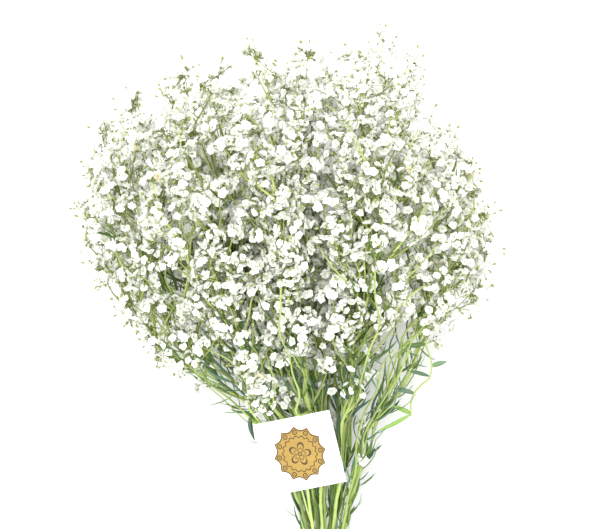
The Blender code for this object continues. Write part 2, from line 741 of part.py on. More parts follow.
def main():
    clear_scene()
    seeds = stem_seeds()
    radii = stem_radii(seeds)
    floor = lowest_of_cut_ends(seeds, radii)
    owners, florets = floret_places(seeds, random.Random(FLORET_SEED))
    stems = []
    for index, seed in enumerate(seeds):
        name = f"stem_{index + 1:02d}"
        draw = random.Random(GROWTH_SEED + index)
        stems.append(stem_solid(name, seed, seeds, florets[owners == index], radii[index], floor, draw))
    middle, turn = card_frame(stems)
    finishes = {
        "green": material("stems_and_florets", (0.66, 0.72, 0.50), 0.7),
        "twine": material("twine", (0.55, 0.42, 0.26), 0.9),
        "paper": material("paper", (0.92, 0.92, 0.90), 0.8),
        "foil": material("foil", (0.72, 0.53, 0.22), 0.35, 0.9),
    }
    dressed = [(stem, "green") for stem in stems]
    dressed.append((tie_solid(radii), "twine"))
    dressed.append((card_solid(middle, turn), "paper"))
    dressed.append((emblem_solid(middle, turn), "foil"))
    bunch = bpy.data.collections.new("gypsophila_bunch")
    bpy.context.scene.collection.children.link(bunch)
    corners = np.concatenate([[corner.co[:] for corner in solid.data.vertices] for solid, _ in dressed])
    low, high = corners.min(axis=0), corners.max(axis=0)
    to_origin = Matrix.Translation((-(low[0] + high[0]) / 2, -(low[1] + high[1]) / 2, -low[2]))
    for solid, finish in dressed:
        solid.data.transform(to_origin)
        solid.data.materials.clear()
        solid.data.materials.append(finishes[finish])
        bunch.objects.link(solid)


main()
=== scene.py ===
"""The looks of a tied bunch of double white gypsophila that lies on its side with a gift card.

The bunch grows here by the same seeded rule as its solids, with finer stems, leaves and florets.
Lengths are in metres. A spot is a place in the bunch: across and depth in its round
cross-section, each from -1 to 1, and along, a share of its length from the tie to the head.
"""

import logging
import math
import random
from dataclasses import astuple, dataclass, field
from enum import Enum
from functools import cached_property

import bpy
import numpy as np
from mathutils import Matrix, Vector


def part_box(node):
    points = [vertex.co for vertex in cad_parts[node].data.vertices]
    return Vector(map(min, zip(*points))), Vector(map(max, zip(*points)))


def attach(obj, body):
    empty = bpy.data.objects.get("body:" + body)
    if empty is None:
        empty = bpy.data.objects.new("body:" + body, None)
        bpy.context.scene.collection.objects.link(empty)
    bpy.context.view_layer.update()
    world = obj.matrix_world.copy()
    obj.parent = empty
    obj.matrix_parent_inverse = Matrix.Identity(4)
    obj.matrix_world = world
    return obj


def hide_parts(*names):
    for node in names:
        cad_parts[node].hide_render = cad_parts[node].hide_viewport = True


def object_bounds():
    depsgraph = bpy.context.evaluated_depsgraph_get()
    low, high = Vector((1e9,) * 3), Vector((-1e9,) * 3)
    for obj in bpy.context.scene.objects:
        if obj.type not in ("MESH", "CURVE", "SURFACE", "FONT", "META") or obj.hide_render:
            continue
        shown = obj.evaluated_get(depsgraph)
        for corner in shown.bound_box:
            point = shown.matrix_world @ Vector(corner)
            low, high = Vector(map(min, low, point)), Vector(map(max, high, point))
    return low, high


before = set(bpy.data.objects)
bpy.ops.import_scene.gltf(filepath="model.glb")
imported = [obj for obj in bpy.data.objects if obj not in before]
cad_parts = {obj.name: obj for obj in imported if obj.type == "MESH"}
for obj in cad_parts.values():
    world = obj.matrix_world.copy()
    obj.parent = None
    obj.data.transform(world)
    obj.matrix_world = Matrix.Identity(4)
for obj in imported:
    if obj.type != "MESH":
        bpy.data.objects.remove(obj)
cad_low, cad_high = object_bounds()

log = logging.getLogger("gypsophila")
Array = np.ndarray
Chance = np.random.Generator
Material = bpy.types.Material
Piece = bpy.types.Object
Pair = tuple[float, float]
Row = tuple[float, ...]
GOLDEN_ANGLE = math.pi * (3.0 - math.sqrt(5.0))
UP = np.array((0.0, 0.0, 1.0))
ANY_TURN = (0.0, 6.3)  # a little more than once round
HEADROOM = 0.004  # how far the finest petals may stand above the solids
DRESS_SEED = 300  # the seed of the first stem's small differences
PICTURE_MIDDLE = np.array((-0.02125, 0.2767))  # from the tie to the middle of the picture


def linear(code: str) -> tuple[float, float, float]:
    """Turns a colour as seen on a screen, six hex digits, into the linear one that shaders use."""
    shares = [int(code[at:at + 2], 16) / 255 for at in (0, 2, 4)]
    return tuple(s / 12.92 if s <= 0.04045 else ((s + 0.055) / 1.055) ** 2.4 for s in shares)


def smooth(value: Array, low: float, high: float) -> Array:
    """Rises from 0 at low to 1 at high, as 3 s squared less 2 s cubed of the share s."""
    share = np.clip((value - low) / (high - low), 0.0, 1.0)
    return share * share * (3.0 - 2.0 * share)


def unit(vectors: Array) -> Array:
    """The vectors, each divided by its length."""
    return vectors / np.maximum(np.linalg.norm(vectors, axis=-1, keepdims=True), 1e-12)


class Slot(Enum):
    """The names of the material slots."""

    PLANT = "stems_and_florets"
    TWINE = "twine"
    PAPER = "paper"
    FOIL = "foil"


class Tint(Enum):
    """The colours of the plant's organs, in linear light, with a darker deep green that is painted
    shade on the leaves inside the head.
    """

    STEM_LOW = linear("a3bb6a")
    STEM_HIGH = linear("b8c36c")
    CUT = linear("dfe3b4")
    LEAF_GREY = linear("6f9478")
    LEAF_BRIGHT = linear("80a648")
    # painted shade: the darker deep green of the leaves inside the head, standing in for the shade
    # of the florets above them
    LEAF_DEEP = linear("5f7d33")
    PEDICEL = linear("8f9e48")
    CALYX = linear("748244")
    BUD = linear("b2bc74")
    PETAL = linear("ffffff")
    HEART = linear("e6edc4")
    WITHERED = linear("d9cba6")

    @property
    def rgb(self) -> Array:
        """The colour as an array."""
        return np.array(self.value)


def linked(name: str, data: bpy.types.ID) -> Piece:
    """A new object that is linked to the scene.

    Args:
        name: Its name.
        data: Its mesh, lamp or camera.

    Returns:
        The object.
    """
    made = bpy.data.objects.new(name, data)
    bpy.context.scene.collection.objects.link(made)
    return made


@dataclass
class Patch:
    """A piece of surface: its points, its triangles and quads, and a colour for each point."""

    points: Array
    triangles: Array
    quads: Array
    tint: Array


@dataclass
class Surface:
    """A mesh in the making: patches are added to it, and it is then made one object."""

    name: str
    patches: list[Patch] = field(default_factory=list)

    def add(self, patch: Patch) -> None:
        """Adds a patch."""
        self.patches.append(patch)

    def build(self, finish: Material, rounded: bool = True) -> Piece:
        """Makes the object out of all the patches.

        Args:
            finish: The material.
            rounded: Whether the faces are shaded smoothly into each other.

        Returns:
            The mesh object, linked to the scene.
        """
        starts = np.cumsum([0] + [len(patch.points) for patch in self.patches])
        points = np.concatenate([patch.points for patch in self.patches])
        tints = np.concatenate([patch.tint for patch in self.patches])
        placed = list(zip(self.patches, starts))
        triangles = np.concatenate([patch.triangles + at for patch, at in placed])
        quads = np.concatenate([patch.quads + at for patch, at in placed])
        corners = np.concatenate([triangles.ravel(), quads.ravel()]).astype(np.int32)
        sizes = np.concatenate([np.full(len(triangles), 3), np.full(len(quads), 4)])
        mesh = bpy.data.meshes.new(self.name)
        mesh.vertices.add(len(points))
        mesh.vertices.foreach_set("co", points.astype(np.float32).ravel())
        mesh.loops.add(len(corners))
        mesh.loops.foreach_set("vertex_index", corners)
        mesh.polygons.add(len(sizes))
        mesh.polygons.foreach_set("loop_start", (np.cumsum(sizes) - sizes).astype(np.int32))
        mesh.update(calc_edges=True)
        mesh.polygons.foreach_set("use_smooth", np.full(len(sizes), rounded))
        colour = mesh.attributes.new("tint", "FLOAT_COLOR", "POINT")
        opaque = np.hstack([tints, np.ones((len(tints), 1))])
        colour.data.foreach_set("color", opaque.astype(np.float32).ravel())
        mesh.materials.append(finish)
        return linked(self.name, mesh)


def skin(rows: int, sides: int) -> tuple[Array, Array]:
    """The faces of a closed row of rings, whose two end points come after the rings.

    A quad joins each pair of neighbours in a ring to the same pair of the next ring, and a fan
    of triangles round its end point closes each end. All face out where the rings run
    counter-clockwise as seen from the last one.

    Args:
        rows: How many rings there are.
        sides: How many points a ring has.

    Returns:
        The triangles and the quads.
    """
    row, column = np.meshgrid(np.arange(rows - 1), np.arange(sides), indexing="ij")
    here, beside = row * sides + column, row * sides + (column + 1) % sides
    quads = np.stack([here, beside, beside + sides, here + sides], axis=-1).reshape(-1, 4)
    at, after, last = np.arange(sides), (np.arange(sides) + 1) % sides, (rows - 1) * sides
    start_fan = np.stack([after, at, np.full(sides, rows * sides)], axis=-1)
    end_fan = np.stack([at + last, after + last, np.full(sides, rows * sides + 1)], axis=-1)
    return np.concatenate([start_fan, end_fan]), quads


def turned_over(faces: Array) -> Array:
    """The same faces as seen from their other side."""
    return np.roll(faces[:, ::-1], 1, axis=1)


def copies(points: Array, triangles: Array, quads: Array, tint: Array) -> Patch:
    """One patch out of many unlike copies of a shape.

    Args:
        points: The points, as copy by point by coordinate.
        triangles: The triangles of one copy.
        quads: The quads of one copy.
        tint: The colours, as copy by point by channel.

    Returns:
        The patch.
    """
    offsets = np.arange(len(points))[:, None, None] * points.shape[1]
    return Patch(
        points.reshape(-1, 3),
        (triangles[None] + offsets).reshape(-1, 3),
        (quads[None] + offsets).reshape(-1, 4),
        tint.reshape(-1, 3),
    )


def tubes(paths: Array, radii: Array, sides: int, low: Array, high: Array) -> Patch:
    """Round tubes along paths, all with the same number of points.

    A ring's point is its path's point, plus the radius times (cosine of the angle times the
    side direction plus sine of the angle times the front direction). Both directions stand
    square to the path. Each end is closed by a fan round the path's end point.

    Args:
        paths: The paths, as tube by point by coordinate.
        radii: The tubes' radii, as tube by point.
        sides: How many points a ring has.
        low: The colour at the start, one or one for each tube.
        high: The colour at the end, one or one for each tube.

    Returns:
        The tubes' surface.
    """
    count, length = paths.shape[:2]
    ways = unit(np.gradient(paths, axis=1))
    steepest = np.abs(ways).max(axis=1)
    guide = np.eye(3)[steepest.argmin(axis=1)][:, None, :]
    side = unit(guide - ways * (guide * ways).sum(axis=-1, keepdims=True))
    front = np.cross(ways, side)
    angles = np.arange(sides) * 2 * math.pi / sides
    cosines, sines = np.cos(angles)[:, None], np.sin(angles)[:, None]
    rim = cosines * side[:, :, None, :] + sines * front[:, :, None, :]
    rings = paths[:, :, None, :] + rim * radii[:, :, None, None]
    rings = rings.reshape(count, length * sides, 3)
    points = np.concatenate([rings, paths[:, :1], paths[:, -1:]], axis=1)
    share = np.concatenate([np.repeat(np.linspace(0.0, 1.0, length), sides), [0.0, 1.0]])
    low, high = (np.broadcast_to(end, (count, 3))[:, None] for end in (low, high))
    return copies(points, *skin(length, sides), low + (high - low) * share[None, :, None])


def rounded_path(points: Array, radii: Array, step: float) -> tuple[Array, Array]:
    """A smooth curve through the points, by the cubic that meets each point's mean slope.

    Args:
        points: The points to pass through.
        radii: The radius at each.
        step: How far apart the new points are, at most.

    Returns:
        The new points and their radii.
    """
    lengths = np.linalg.norm(np.diff(points, axis=0), axis=1)
    knots = np.concatenate([[0.0], np.cumsum(lengths)])
    slopes = np.gradient(points, knots, axis=0)
    count = max(int(math.ceil(knots[-1] / step)) + 1, 3)
    where = np.linspace(0.0, knots[-1], count)
    run = np.clip(np.searchsorted(knots, where, side="right") - 1, 0, len(lengths) - 1)
    share = ((where - knots[run]) / lengths[run])[:, None]
    reach = lengths[run][:, None]
    curve = (
        (2 * share**3 - 3 * share**2 + 1) * points[run]
        + (share**3 - 2 * share**2 + share) * reach * slopes[run]
        + (3 * share**2 - 2 * share**3) * points[run + 1]
        + (share**3 - share**2) * reach * slopes[run + 1]
    )
    return curve, np.interp(where, knots, radii)


@dataclass(frozen=True)
class Outline:
    """The fan that the bunch fills above its tie, and the lean that it lies at."""

    tie_half_width: float = 0.0110
    tie_half_depth: float = 0.0095
    reach: float = 0.455
    reach_peak: tuple[float, float, float] = (0.024, 0.36, 0.15)
    reach_loss_right: float = 0.035
    reach_loss_sides: float = 0.110
    reach_loss_sides_power: float = 3.5
    reach_loss_depth: float = 0.28
    fan_left: Pair = (-15.0, -35.0)
    fan_right: Pair = (15.0, 24.5)
    fan_up: Pair = (9.5, 15.5)
    fan_down: Pair = (8.0, 12.0)
    fan_opens: Pair = (0.22, 0.62)
    lean: float = 0.185
    cut_length: float = 0.080
    cut_splay: float = 0.25

    def place(self, spots: Array) -> Array:
        """The points of the bunch at some spots.

        A point lies at its length along a ray from the tie. The ray's angle sideways runs from
        the fan's left to its right side with across, and its angle upwards grows with depth.
        The length is shorter at the sides and at the front and back of the head.

        Args:
            spots: Across, depth and along, in the last axis.

        Returns:
            The points, in metres from the tie's middle.
        """
        across, depth, along = np.moveaxis(np.asarray(spots), -1, 0)
        opening = smooth(along, *self.fan_opens)
        left, right, up, down = (
            side[0] + (side[1] - side[0]) * opening
            for side in (self.fan_left, self.fan_right, self.fan_up, self.fan_down)
        )
        level = smooth(depth, -1.0, 1.0)
        sideways = np.radians((left + right) / 2 + across * (right - left) / 2)
        upward = np.radians(depth * (down + (up - down) * level))
        loss_right = self.reach_loss_right * np.maximum(across, 0.0)
        loss_sides = self.reach_loss_sides * np.abs(across) ** self.reach_loss_sides_power
        height, at, width = self.reach_peak
        peak = height * np.exp(-(((across - at) / width) ** 2))
        loss_depth = self.reach_loss_depth * depth * depth
        reach = (self.reach + peak - loss_right - loss_sides) * (1.0 - loss_depth)
        length = np.maximum(along, 0.0) * reach
        below = np.minimum(along, 0.0) * self.reach
        wide = 1.0 - self.cut_splay * below / self.cut_length
        x = across * self.tie_half_width * wide + length * np.sin(sideways) * np.cos(upward)
        y = below + length * np.cos(sideways) * np.cos(upward)
        z = depth * self.tie_half_depth * wide + length * np.sin(upward)
        return np.stack([x, y, z + self.lean * y], axis=-1)

    def slopes(self, spots: Array) -> Array:
        """How far a point moves for each of its spot's three shares.

        Args:
            spots: The spots.

        Returns:
            A matrix for each spot.
        """
        nudge = 1e-4 * np.eye(3)
        columns = [self.place(spots + one) - self.place(spots - one) for one in nudge]
        return np.stack(columns, axis=-1) / 2e-4


def at_level(along: float, spots: Array, values: Array) -> Array:
    """The value, of three numbers, that a row of spots has at a share of the bunch's length."""
    return np.array([np.interp(along, spots[:, 2], values[:, axis]) for axis in range(3)])


@dataclass
class Twig:
    """A run of stem from where it forks off to its floret, as spots and radii."""

    spots: list[Array]
    radii: list[float]

    def spot_at(self, along: float) -> Array:
        """The spot that the twig passes at a share of the bunch's length."""
        spots = np.array(self.spots)
        return at_level(along, spots, spots)

    def parted(self, outline: Outline, step: float) -> "Twig":
        """The same twig with its long runs parted evenly.

        Args:
            outline: The outline that places its spots.
            step: How long a run is, about.

        Returns:
            The new twig.
        """
        fine = Twig(self.spots[:1], self.radii[:1])
        for first, last, thick, thin in zip(self.spots, self.spots[1:], self.radii, self.radii[1:]):
            runs = max(round(np.linalg.norm(outline.place(last) - outline.place(first)) / step), 1)
            for run in range(1, runs + 1):
                fine.spots.append(first + (last - first) * run / runs)
                fine.radii.append(thick + (thin - thick) * run / runs)
        return fine


@dataclass
class Cyme:
    """Where a small spray of florets sits at the end of its twig."""

    base: Array
    facing: Array
    radius: float
    turn: float


@dataclass
class Leaf:
    """A leaf from its root to its tip, with the direction that its back faces."""

    root: Array
    tip: Array
    outward: Array


@dataclass
class Stem:
    """One flowering stem: its leader, its twigs with their cymes, its leaves and side shoots."""

    name: str
    leader: Array
    leader_radii: Array
    twigs: list[tuple[Array, Array]]
    cymes: list[Cyme]
    leaves: list[Leaf]
    shoots: list[Array]
    runners: list[Array] = field(default_factory=list)
    singles: list[Array] = field(default_factory=list)
    bent_shoot: Array | None = None


@dataclass
class Growth:
    """The seeded rule by which the whole bunch grows, each stem in a wedge of its own."""

    outline: Outline = field(default_factory=Outline)
    stem_count: int = 18
    spiral_start: float = 1.35
    stem_gap: float = 0.0003
    stem_radius_most: float = 0.0023
    stem_step: float = 0.060
    stem_stub: float = 0.004
    cut_stagger: float = 0.012
    twig_radius: float = 0.00058
    twig_thickening: float = 0.38
    twig_share_of_parent: float = 0.62
    twig_root: float = 0.007
    twig_step: float = 0.085
    fork_shares: Row = (0.15, 0.34, 0.52, 0.58, 0.60, 0.60)
    fork_parting: Pair = (0.36, 0.64)
    fork_unevenness: Pair = (0.85, 1.15)
    fork_below_bloom: float = 0.030
    shortest_run: float = 0.006
    even_split_under: int = 4
    growth_seed: int = 100
    floret_radius: float = 0.0135
    floret_smallest: float = 0.88
    floret_clearance: float = 0.0142
    facing_shares: tuple[float, float, float] = (2.0, 0.45, 0.40)
    facing_forward: float = 0.25
    floret_spacing: float = 0.0250
    floret_spacing_inside: float = 0.055
    floret_tries: int = 20000
    floret_seed: int = 21
    shell: float = 0.80
    shell_fades: float = 0.55
    lowest_bloom: Pair = (0.47, 0.66)
    lowest_bloom_sides: Pair = (0.60, 0.78)
    foot_height: float = 0.62
    foot_band: float = 0.0040
    leaf_length: Pair = (0.026, 0.040)
    leaf_spread: float = 0.17
    leaf_offset: Pair = (0.7, 1.1)
    leaf_waver: float = 0.015
    leaf_turn_waver: float = 0.3
    leaf_clearance: float = 0.0036
    draw_ins: int = 8
    draw_in: float = 0.7
    leafy_from: float = 0.70
    leaf_levels_outside: Row = (0.14, 0.22, 0.31, 0.40)
    leaf_levels_inside: Row = (0.20, 0.34)
    more_levels: Pair = (0.07, 0.72)
    more_pairs: tuple[int, int] = (16, 22)
    more_length: Pair = (0.024, 0.046)
    sparse_right_of: float = 0.5
    card_centre: Pair = (-0.0213, 0.1140)
    card_footprint: float = 0.060
    shoots_per_stem: int = 8
    shoot_from: Pair = (0.10, 0.30)
    shoot_rise: Pair = (0.17, 0.27)
    shoot_offset: Pair = (0.8, 1.5)
    shoot_fan: float = 1.3
    shoot_knee: Pair = (0.55, 0.25)
    shoot_seed: int = 1000
    runner_seed: int = 2000
    runners: tuple[tuple[float, tuple[tuple[float, float, float], ...]], ...] = (
        (
            0.40,
            ((-0.12, 1.06, 0.50), (-0.08, 1.15, 0.60), (-0.12, 1.15, 0.72), (-0.09, 1.07, 0.88)),
        ),
        (0.40, ((0.45, 0.90, 0.52), (0.48, 1.00, 0.66), (0.44, 0.98, 0.86))),
        (0.06, ((0.72, 0.40, 0.18), (0.66, 0.50, 0.32), (0.60, 0.60, 0.46), (0.66, 0.66, 0.60))),
        (0.03, ((0.86, 0.10, 0.14), (0.80, 0.20, 0.28), (0.74, 0.36, 0.42), (0.80, 0.40, 0.60))),
        (0.05, ((0.62, 0.05, 0.15), (0.72, 0.12, 0.30), (0.84, 0.20, 0.46), (0.86, 0.20, 0.62))),
    )
    runner_leaf_levels: Row = (0.12, 0.22, 0.32, 0.42, 0.54, 0.66, 0.80)
    runner_leaf_aside: Pair = (0.2, 0.6)
    runner_leaf_up: Pair = (-0.2, 0.3)
    runner_step: float = 0.004
    singles: tuple[Pair, ...] = ((0.0320, 0.1380), (0.0330, 0.1050), (0.0410, 0.1810))
    corner_leaf: tuple[Pair, Pair] = ((-0.0640, 0.1460), (-0.0600, 0.1200))
    corner_leaf_drop: float = 0.006
    path_step: float = 0.003
    single_stalk: float = 0.020
    single_height: float = 0.006
    fill_seed: int = 5
    fill_tries: int = 4000
    fill_spacing: Pair = (0.0230, 0.0160)
    fill_upper: float = 0.10
    fill_reach: float = 0.97
    fill_stalk: float = 0.030
    fill_height: float = 0.014
    fill_bend: float = 0.12
    shoot_below_bloom: float = 0.12
    shoot_stem: str = "stem_11"
    shoot_level: float = 0.60
    shoot_route: tuple[Pair, ...] = (
        (0.0870, 0.2240), (0.0900, 0.2060), (0.0940, 0.1860), (0.0915, 0.1790),
        (0.0830, 0.1725), (0.0745, 0.1640), (0.0715, 0.1550), (0.0735, 0.1450),
    )
    shoot_drop: float = 0.0018
    shoot_leaf_root: float = 0.15
    shoot_leaves: tuple[tuple[int, Pair], ...] = (
        (2, (0.0715, 0.2070)), (3, (0.1080, 0.1930)), (4, (0.0700, 0.1850)),
        (6, (0.0580, 0.1700)), (8, (0.0560, 0.1540)), (8, (0.0480, 0.1320)),
    )

    @cached_property
    def seeds(self) -> Array:
        """The places of the stems in the cross-section: a sunflower's spiral, evenly filled."""
        index = np.arange(self.stem_count)
        radius = np.sqrt((index + 0.5) / self.stem_count)
        turn = self.spiral_start + index * GOLDEN_ANGLE
        return np.stack([radius * np.cos(turn), radius * np.sin(turn)], axis=-1)

    @cached_property
    def radii(self) -> Array:
        """The stems' radii at the tie, where each is as thick as its neighbours let it be."""
        flat = self.seeds * (self.outline.tie_half_width, self.outline.tie_half_depth)
        room = np.linalg.norm(flat[:, None] - flat[None], axis=-1) - self.stem_gap
        np.fill_diagonal(room, np.inf)
        radii = np.minimum(room.min(axis=1) / 2, self.stem_radius_most)
        for index, row in enumerate(room):
            radii[index] = min((row - radii).min(), self.stem_radius_most)
        return radii

    @cached_property
    def floor(self) -> float:
        """The height of the surface that the bunch lies on: under its lowest cut end."""
        along = np.full((self.stem_count, 1), -self.outline.cut_length / self.outline.reach)
        ends = self.outline.place(np.hstack([self.seeds, along]))
        return float((ends[:, 2] - self.radii).min())

    def wedges(self, spots: Array) -> tuple[Array, Array]:
        """Finds which stem's wedge each spot lies in. A wedge is all that is nearest to a stem.

        Args:
            spots: The spots.

        Returns:
            Each spot's stem, and how far the spot is from the wedge's sides.
        """
        rows = np.arange(len(spots))
        squared = ((spots[:, None, :2] - self.seeds[None]) ** 2).sum(axis=-1)
        owner = squared.argmin(axis=1)
        between = self.seeds[owner][:, None, :] - self.seeds[None]
        apart = np.linalg.norm(between, axis=-1)
        apart[rows, owner] = np.inf
        flat = (squared - squared[rows, owner][:, None]) / (2 * apart)
        inverse = np.linalg.inv(self.outline.slopes(spots))
        steep = np.einsum("nji,nkj->nki", inverse[:, :2, :], between / apart[..., None])
        away = flat / np.maximum(np.linalg.norm(steep, axis=-1), 1e-9)
        away[rows, owner] = np.inf
        return owner, away.min(axis=1)

    def lowest(self, across: Array) -> Array:
        """Where the head's surface begins to bloom, as a share of the length: higher aside."""
        at_side = np.where(across < 0.0, *self.lowest_bloom_sides)
        return self.lowest_bloom[0] + (at_side - self.lowest_bloom[0]) * across**2

    def floret_spots(self, draw: random.Random) -> tuple[Array, Array]:
        """Evenly spread spots for the cymes, each well inside one stem's wedge.

        They are thrown at random and kept where there is room, closely in the head's outer
        shell and thinly inside it.

        Args:
            draw: The source of chance.

        Returns:
            Each cyme's stem, and the cymes' spots.
        """
        throws = np.array([[draw.random() for _ in range(3)] for _ in range(self.floret_tries)])
        radius = np.sqrt(throws[:, 0])
        turn = throws[:, 1] * 2 * math.pi
        across, depth = radius * np.cos(turn), radius * np.sin(turn)
        inside = smooth(-radius, -1.0, -self.shell_fades)
        low_inside = self.lowest_bloom[1]
        outside = self.lowest(across)
        lowest = outside + (low_inside - outside) * inside
        along = lowest + (1.0 - lowest) * np.sqrt(throws[:, 2])
        spots = np.stack([across, depth, along], axis=-1)
        owner, away = self.wedges(spots)
        points = self.outline.place(spots)
        outerness = np.maximum(radius, 2.0 * along - 1.0)
        hidden = np.clip((self.shell - outerness) / self.shell, 0.0, 1.0)
        spacing = self.floret_spacing + (self.floret_spacing_inside - self.floret_spacing) * hidden
        kept: list[int] = []
        for index in np.flatnonzero(away > self.floret_clearance):
            distance = np.linalg.norm(points[kept] - points[index], axis=1)
            if (distance > spacing[index]).all():
                kept.append(int(index))
        return owner[kept], spots[kept]

    def grow(
        self,
        start: Array,
        florets: Array,
        level: int,
        twig: Twig,
        twigs: list[Twig],
        draw: random.Random,
    ) -> None:
        """Lengthens a twig to one of its florets and forks the others off on the way.

        Args:
            start: The spot that the twig has reached.
            florets: The spots that it and its side twigs have to reach.
            level: How often it has forked.
            twig: The twig to lengthen.
            twigs: The list that each new side twig is put in.
            draw: The source of chance.
        """
        if len(florets) == 1:
            twig.spots.append(florets[0])
            twig.radii.append(self.twig_radius)
            return
        world = self.outline.place(florets)
        order = np.argsort(world[:, np.ptp(world, axis=0).argmax()], kind="stable")
        share = 0.5 if len(florets) < self.even_split_under else draw.uniform(*self.fork_parting)
        cut = min(max(round(share * len(florets)), 1), len(florets) - 1)
        smaller, larger = sorted((florets[order[:cut]], florets[order[cut:]]), key=len)
        reach = self.fork_shares[min(level, len(self.fork_shares) - 1)]
        reach *= draw.uniform(*self.fork_unevenness)
        fork = start + reach * (florets.mean(axis=0) - start)
        top = max(florets[:, 2].min() - self.fork_below_bloom, start[2] + self.shortest_run)
        if fork[2] > top:
            fork = start + (fork - start) * (top - start[2]) / (fork[2] - start[2])
        radius = min(self.twig_radius * len(florets) ** self.twig_thickening, twig.radii[-1])
        side_radius = self.twig_radius * len(smaller) ** self.twig_thickening
        side = Twig([fork], [min(side_radius, radius * self.twig_share_of_parent)])
        twig.spots.append(fork)
        twig.radii.append(radius)
        twigs.append(side)
        self.grow(fork, larger, level + 1, twig, twigs, draw)
        self.grow(fork, smaller, level + 1, side, twigs, draw)

    def facing(self, spot: Array, way: Array, draw: random.Random) -> Array:
        """The way a cyme faces: out of the head near its surface, never back along its stalk.

        Args:
            spot: Where the cyme is.
            way: The way that its stalk runs.
            draw: The source of chance.

        Returns:
            A direction.
        """
        across, depth, along = spot
        here = self.outline.place(spot)
        aside = self.outline.place(np.array((across * 1.01, depth * 1.01, along))) - here
        onward = self.outline.place(np.array((across, depth, along + 0.01))) - here
        chance = np.array([draw.uniform(-1.0, 1.0) for _ in range(3)])
        share_aside, share_onward, share_chance = self.facing_shares
        aside *= share_aside * (across * across + depth * depth) / np.linalg.norm(aside)
        onward *= share_onward / np.linalg.norm(onward)
        faced = unit(aside + onward + share_chance * chance)
        forward = faced.dot(way)
        if forward < self.facing_forward:
            level = unit(faced - way * forward)
            faced = way * self.facing_forward + level * math.sqrt(1.0 - self.facing_forward**2)
        return faced

    def dress_twig(self, twig: Twig, draw: random.Random) -> tuple[Array, Array, Cyme]:
        """Lays a twig out and sets its cyme on it. A low cyme is pressed on to the surface.

        Args:
            twig: The twig.
            draw: The source of chance.

        Returns:
            The twig's path, its radii and its cyme.
        """
        fine = twig.parted(self.outline, self.twig_step)
        points = self.outline.place(np.array(fine.spots))
        turn = draw.uniform(0.0, 2 * math.pi)
        radius = self.floret_radius * draw.uniform(self.floret_smallest, 1.0)
        on_floor = points[-1][2] - radius < self.floor + self.foot_band
        if on_floor:
            points[-1][2] = self.floor + self.foot_height * radius
        before = points[-2]
        if len(points) == 2:
            way = points[1] - points[0]
            before = points[0] + way * min(self.twig_root / np.linalg.norm(way), 0.5)
        if on_floor:
            facing = -UP
        else:
            facing = self.facing(twig.spots[-1], unit(points[-1] - before), draw)
        return points, np.array(fine.radii), Cyme(points[-1], facing, radius, turn)

    def tip_with_room(
        self, index: int, foot: Array, turn: float, offset: float, rise: float
    ) -> tuple[Array, Array] | None:
        """A tip above a foot and aside from it, drawn in until it has room in the stem's wedge.

        Args:
            index: Which stem it belongs to.
            foot: The spot that it rises from.
            turn: The direction that it lies in.
            offset: How far aside it is to lie.
            rise: How far above its foot it is.

        Returns:
            The tip's spot and how far aside it lies, or nothing where no room is found.
        """
        for _ in range(self.draw_ins):
            aside = np.array((math.cos(turn), math.sin(turn), 0.0)) * offset
            tip = foot + aside + (0.0, 0.0, rise)
            owner, away = self.wedges(tip[None])
            if away[0] > self.leaf_clearance and owner[0] == index:
                return tip, aside
            offset *= self.draw_in
        return None

    def leaves(
        self,
        index: int,
        leader: Twig,
        levels: Array | Row,
        lengths: Pair,
        draw: random.Random,
    ) -> list[Leaf]:
        """A stem's leaves, in pairs that each stand at right angles to the next.

        Args:
            index: Which stem it is.
            leader: The stem's leader.
            levels: The shares of the length at which pairs grow.
            lengths: The shortest and the longest leaf.
            draw: The source of chance.

        Returns:
            The leaves that have room in the stem's own wedge and stay clear of the card.
        """
        spots = np.array(leader.spots)
        points = self.outline.place(spots)
        turn = draw.uniform(0.0, math.pi)
        found: list[Leaf] = []
        for level in levels:
            level += draw.uniform(-self.leaf_waver, self.leaf_waver)
            turn += math.pi / 2 + draw.uniform(-self.leaf_turn_waver, self.leaf_turn_waver)
            foot, root = at_level(level, spots, spots), at_level(level, spots, points)
            for way in (turn, turn + math.pi):
                rise = draw.uniform(*lengths) / self.outline.reach
                offset = self.leaf_spread * draw.uniform(*self.leaf_offset)
                roomy = self.tip_with_room(index, foot, way, offset, rise)
                if roomy is None:
                    continue
                tip, aside = roomy
                end = self.outline.place(tip)
                below = np.abs(end[:2] - self.card_centre).max() < self.card_footprint
                if aside[1] < 0.0 or not below:
                    beside = self.outline.place(np.array((foot[0], foot[1], tip[2])))
                    found.append(Leaf(root, end, end - beside))
        return found

    def shoots(self, index: int, leader: Twig, draw: random.Random) -> list[Array]:
        """The thin side shoots low on a stem, each as the points that it runs through.

        A shoot leaves the leader at a low knee and drifts aside within the stem's wedge.

        Args:
            index: Which stem it is.
            leader: The stem's leader.
            draw: The source of chance.

        Returns:
            The shoots that have room and end near the head.
        """
        found = []
        for _ in range(self.shoots_per_stem):
            low = draw.uniform(*self.shoot_from)
            rise = draw.uniform(*self.shoot_rise)
            turn = math.atan2(*self.seeds[index][::-1])
            turn += draw.uniform(-self.shoot_fan, self.shoot_fan)
            offset = self.leaf_spread * draw.uniform(*self.shoot_offset)
            foot = leader.spot_at(low)
            roomy = self.tip_with_room(index, foot, turn, offset, rise)
            if roomy is None:
                continue
            tip, aside = roomy
            if tip[2] > self.lowest(tip[0]) - self.shoot_below_bloom * (1.0 - tip[0] ** 2):
                on, out = self.shoot_knee
                way = np.stack([foot, foot + on * (tip - foot) + out * aside, tip])
                found.append(self.outline.place(way))
        return found

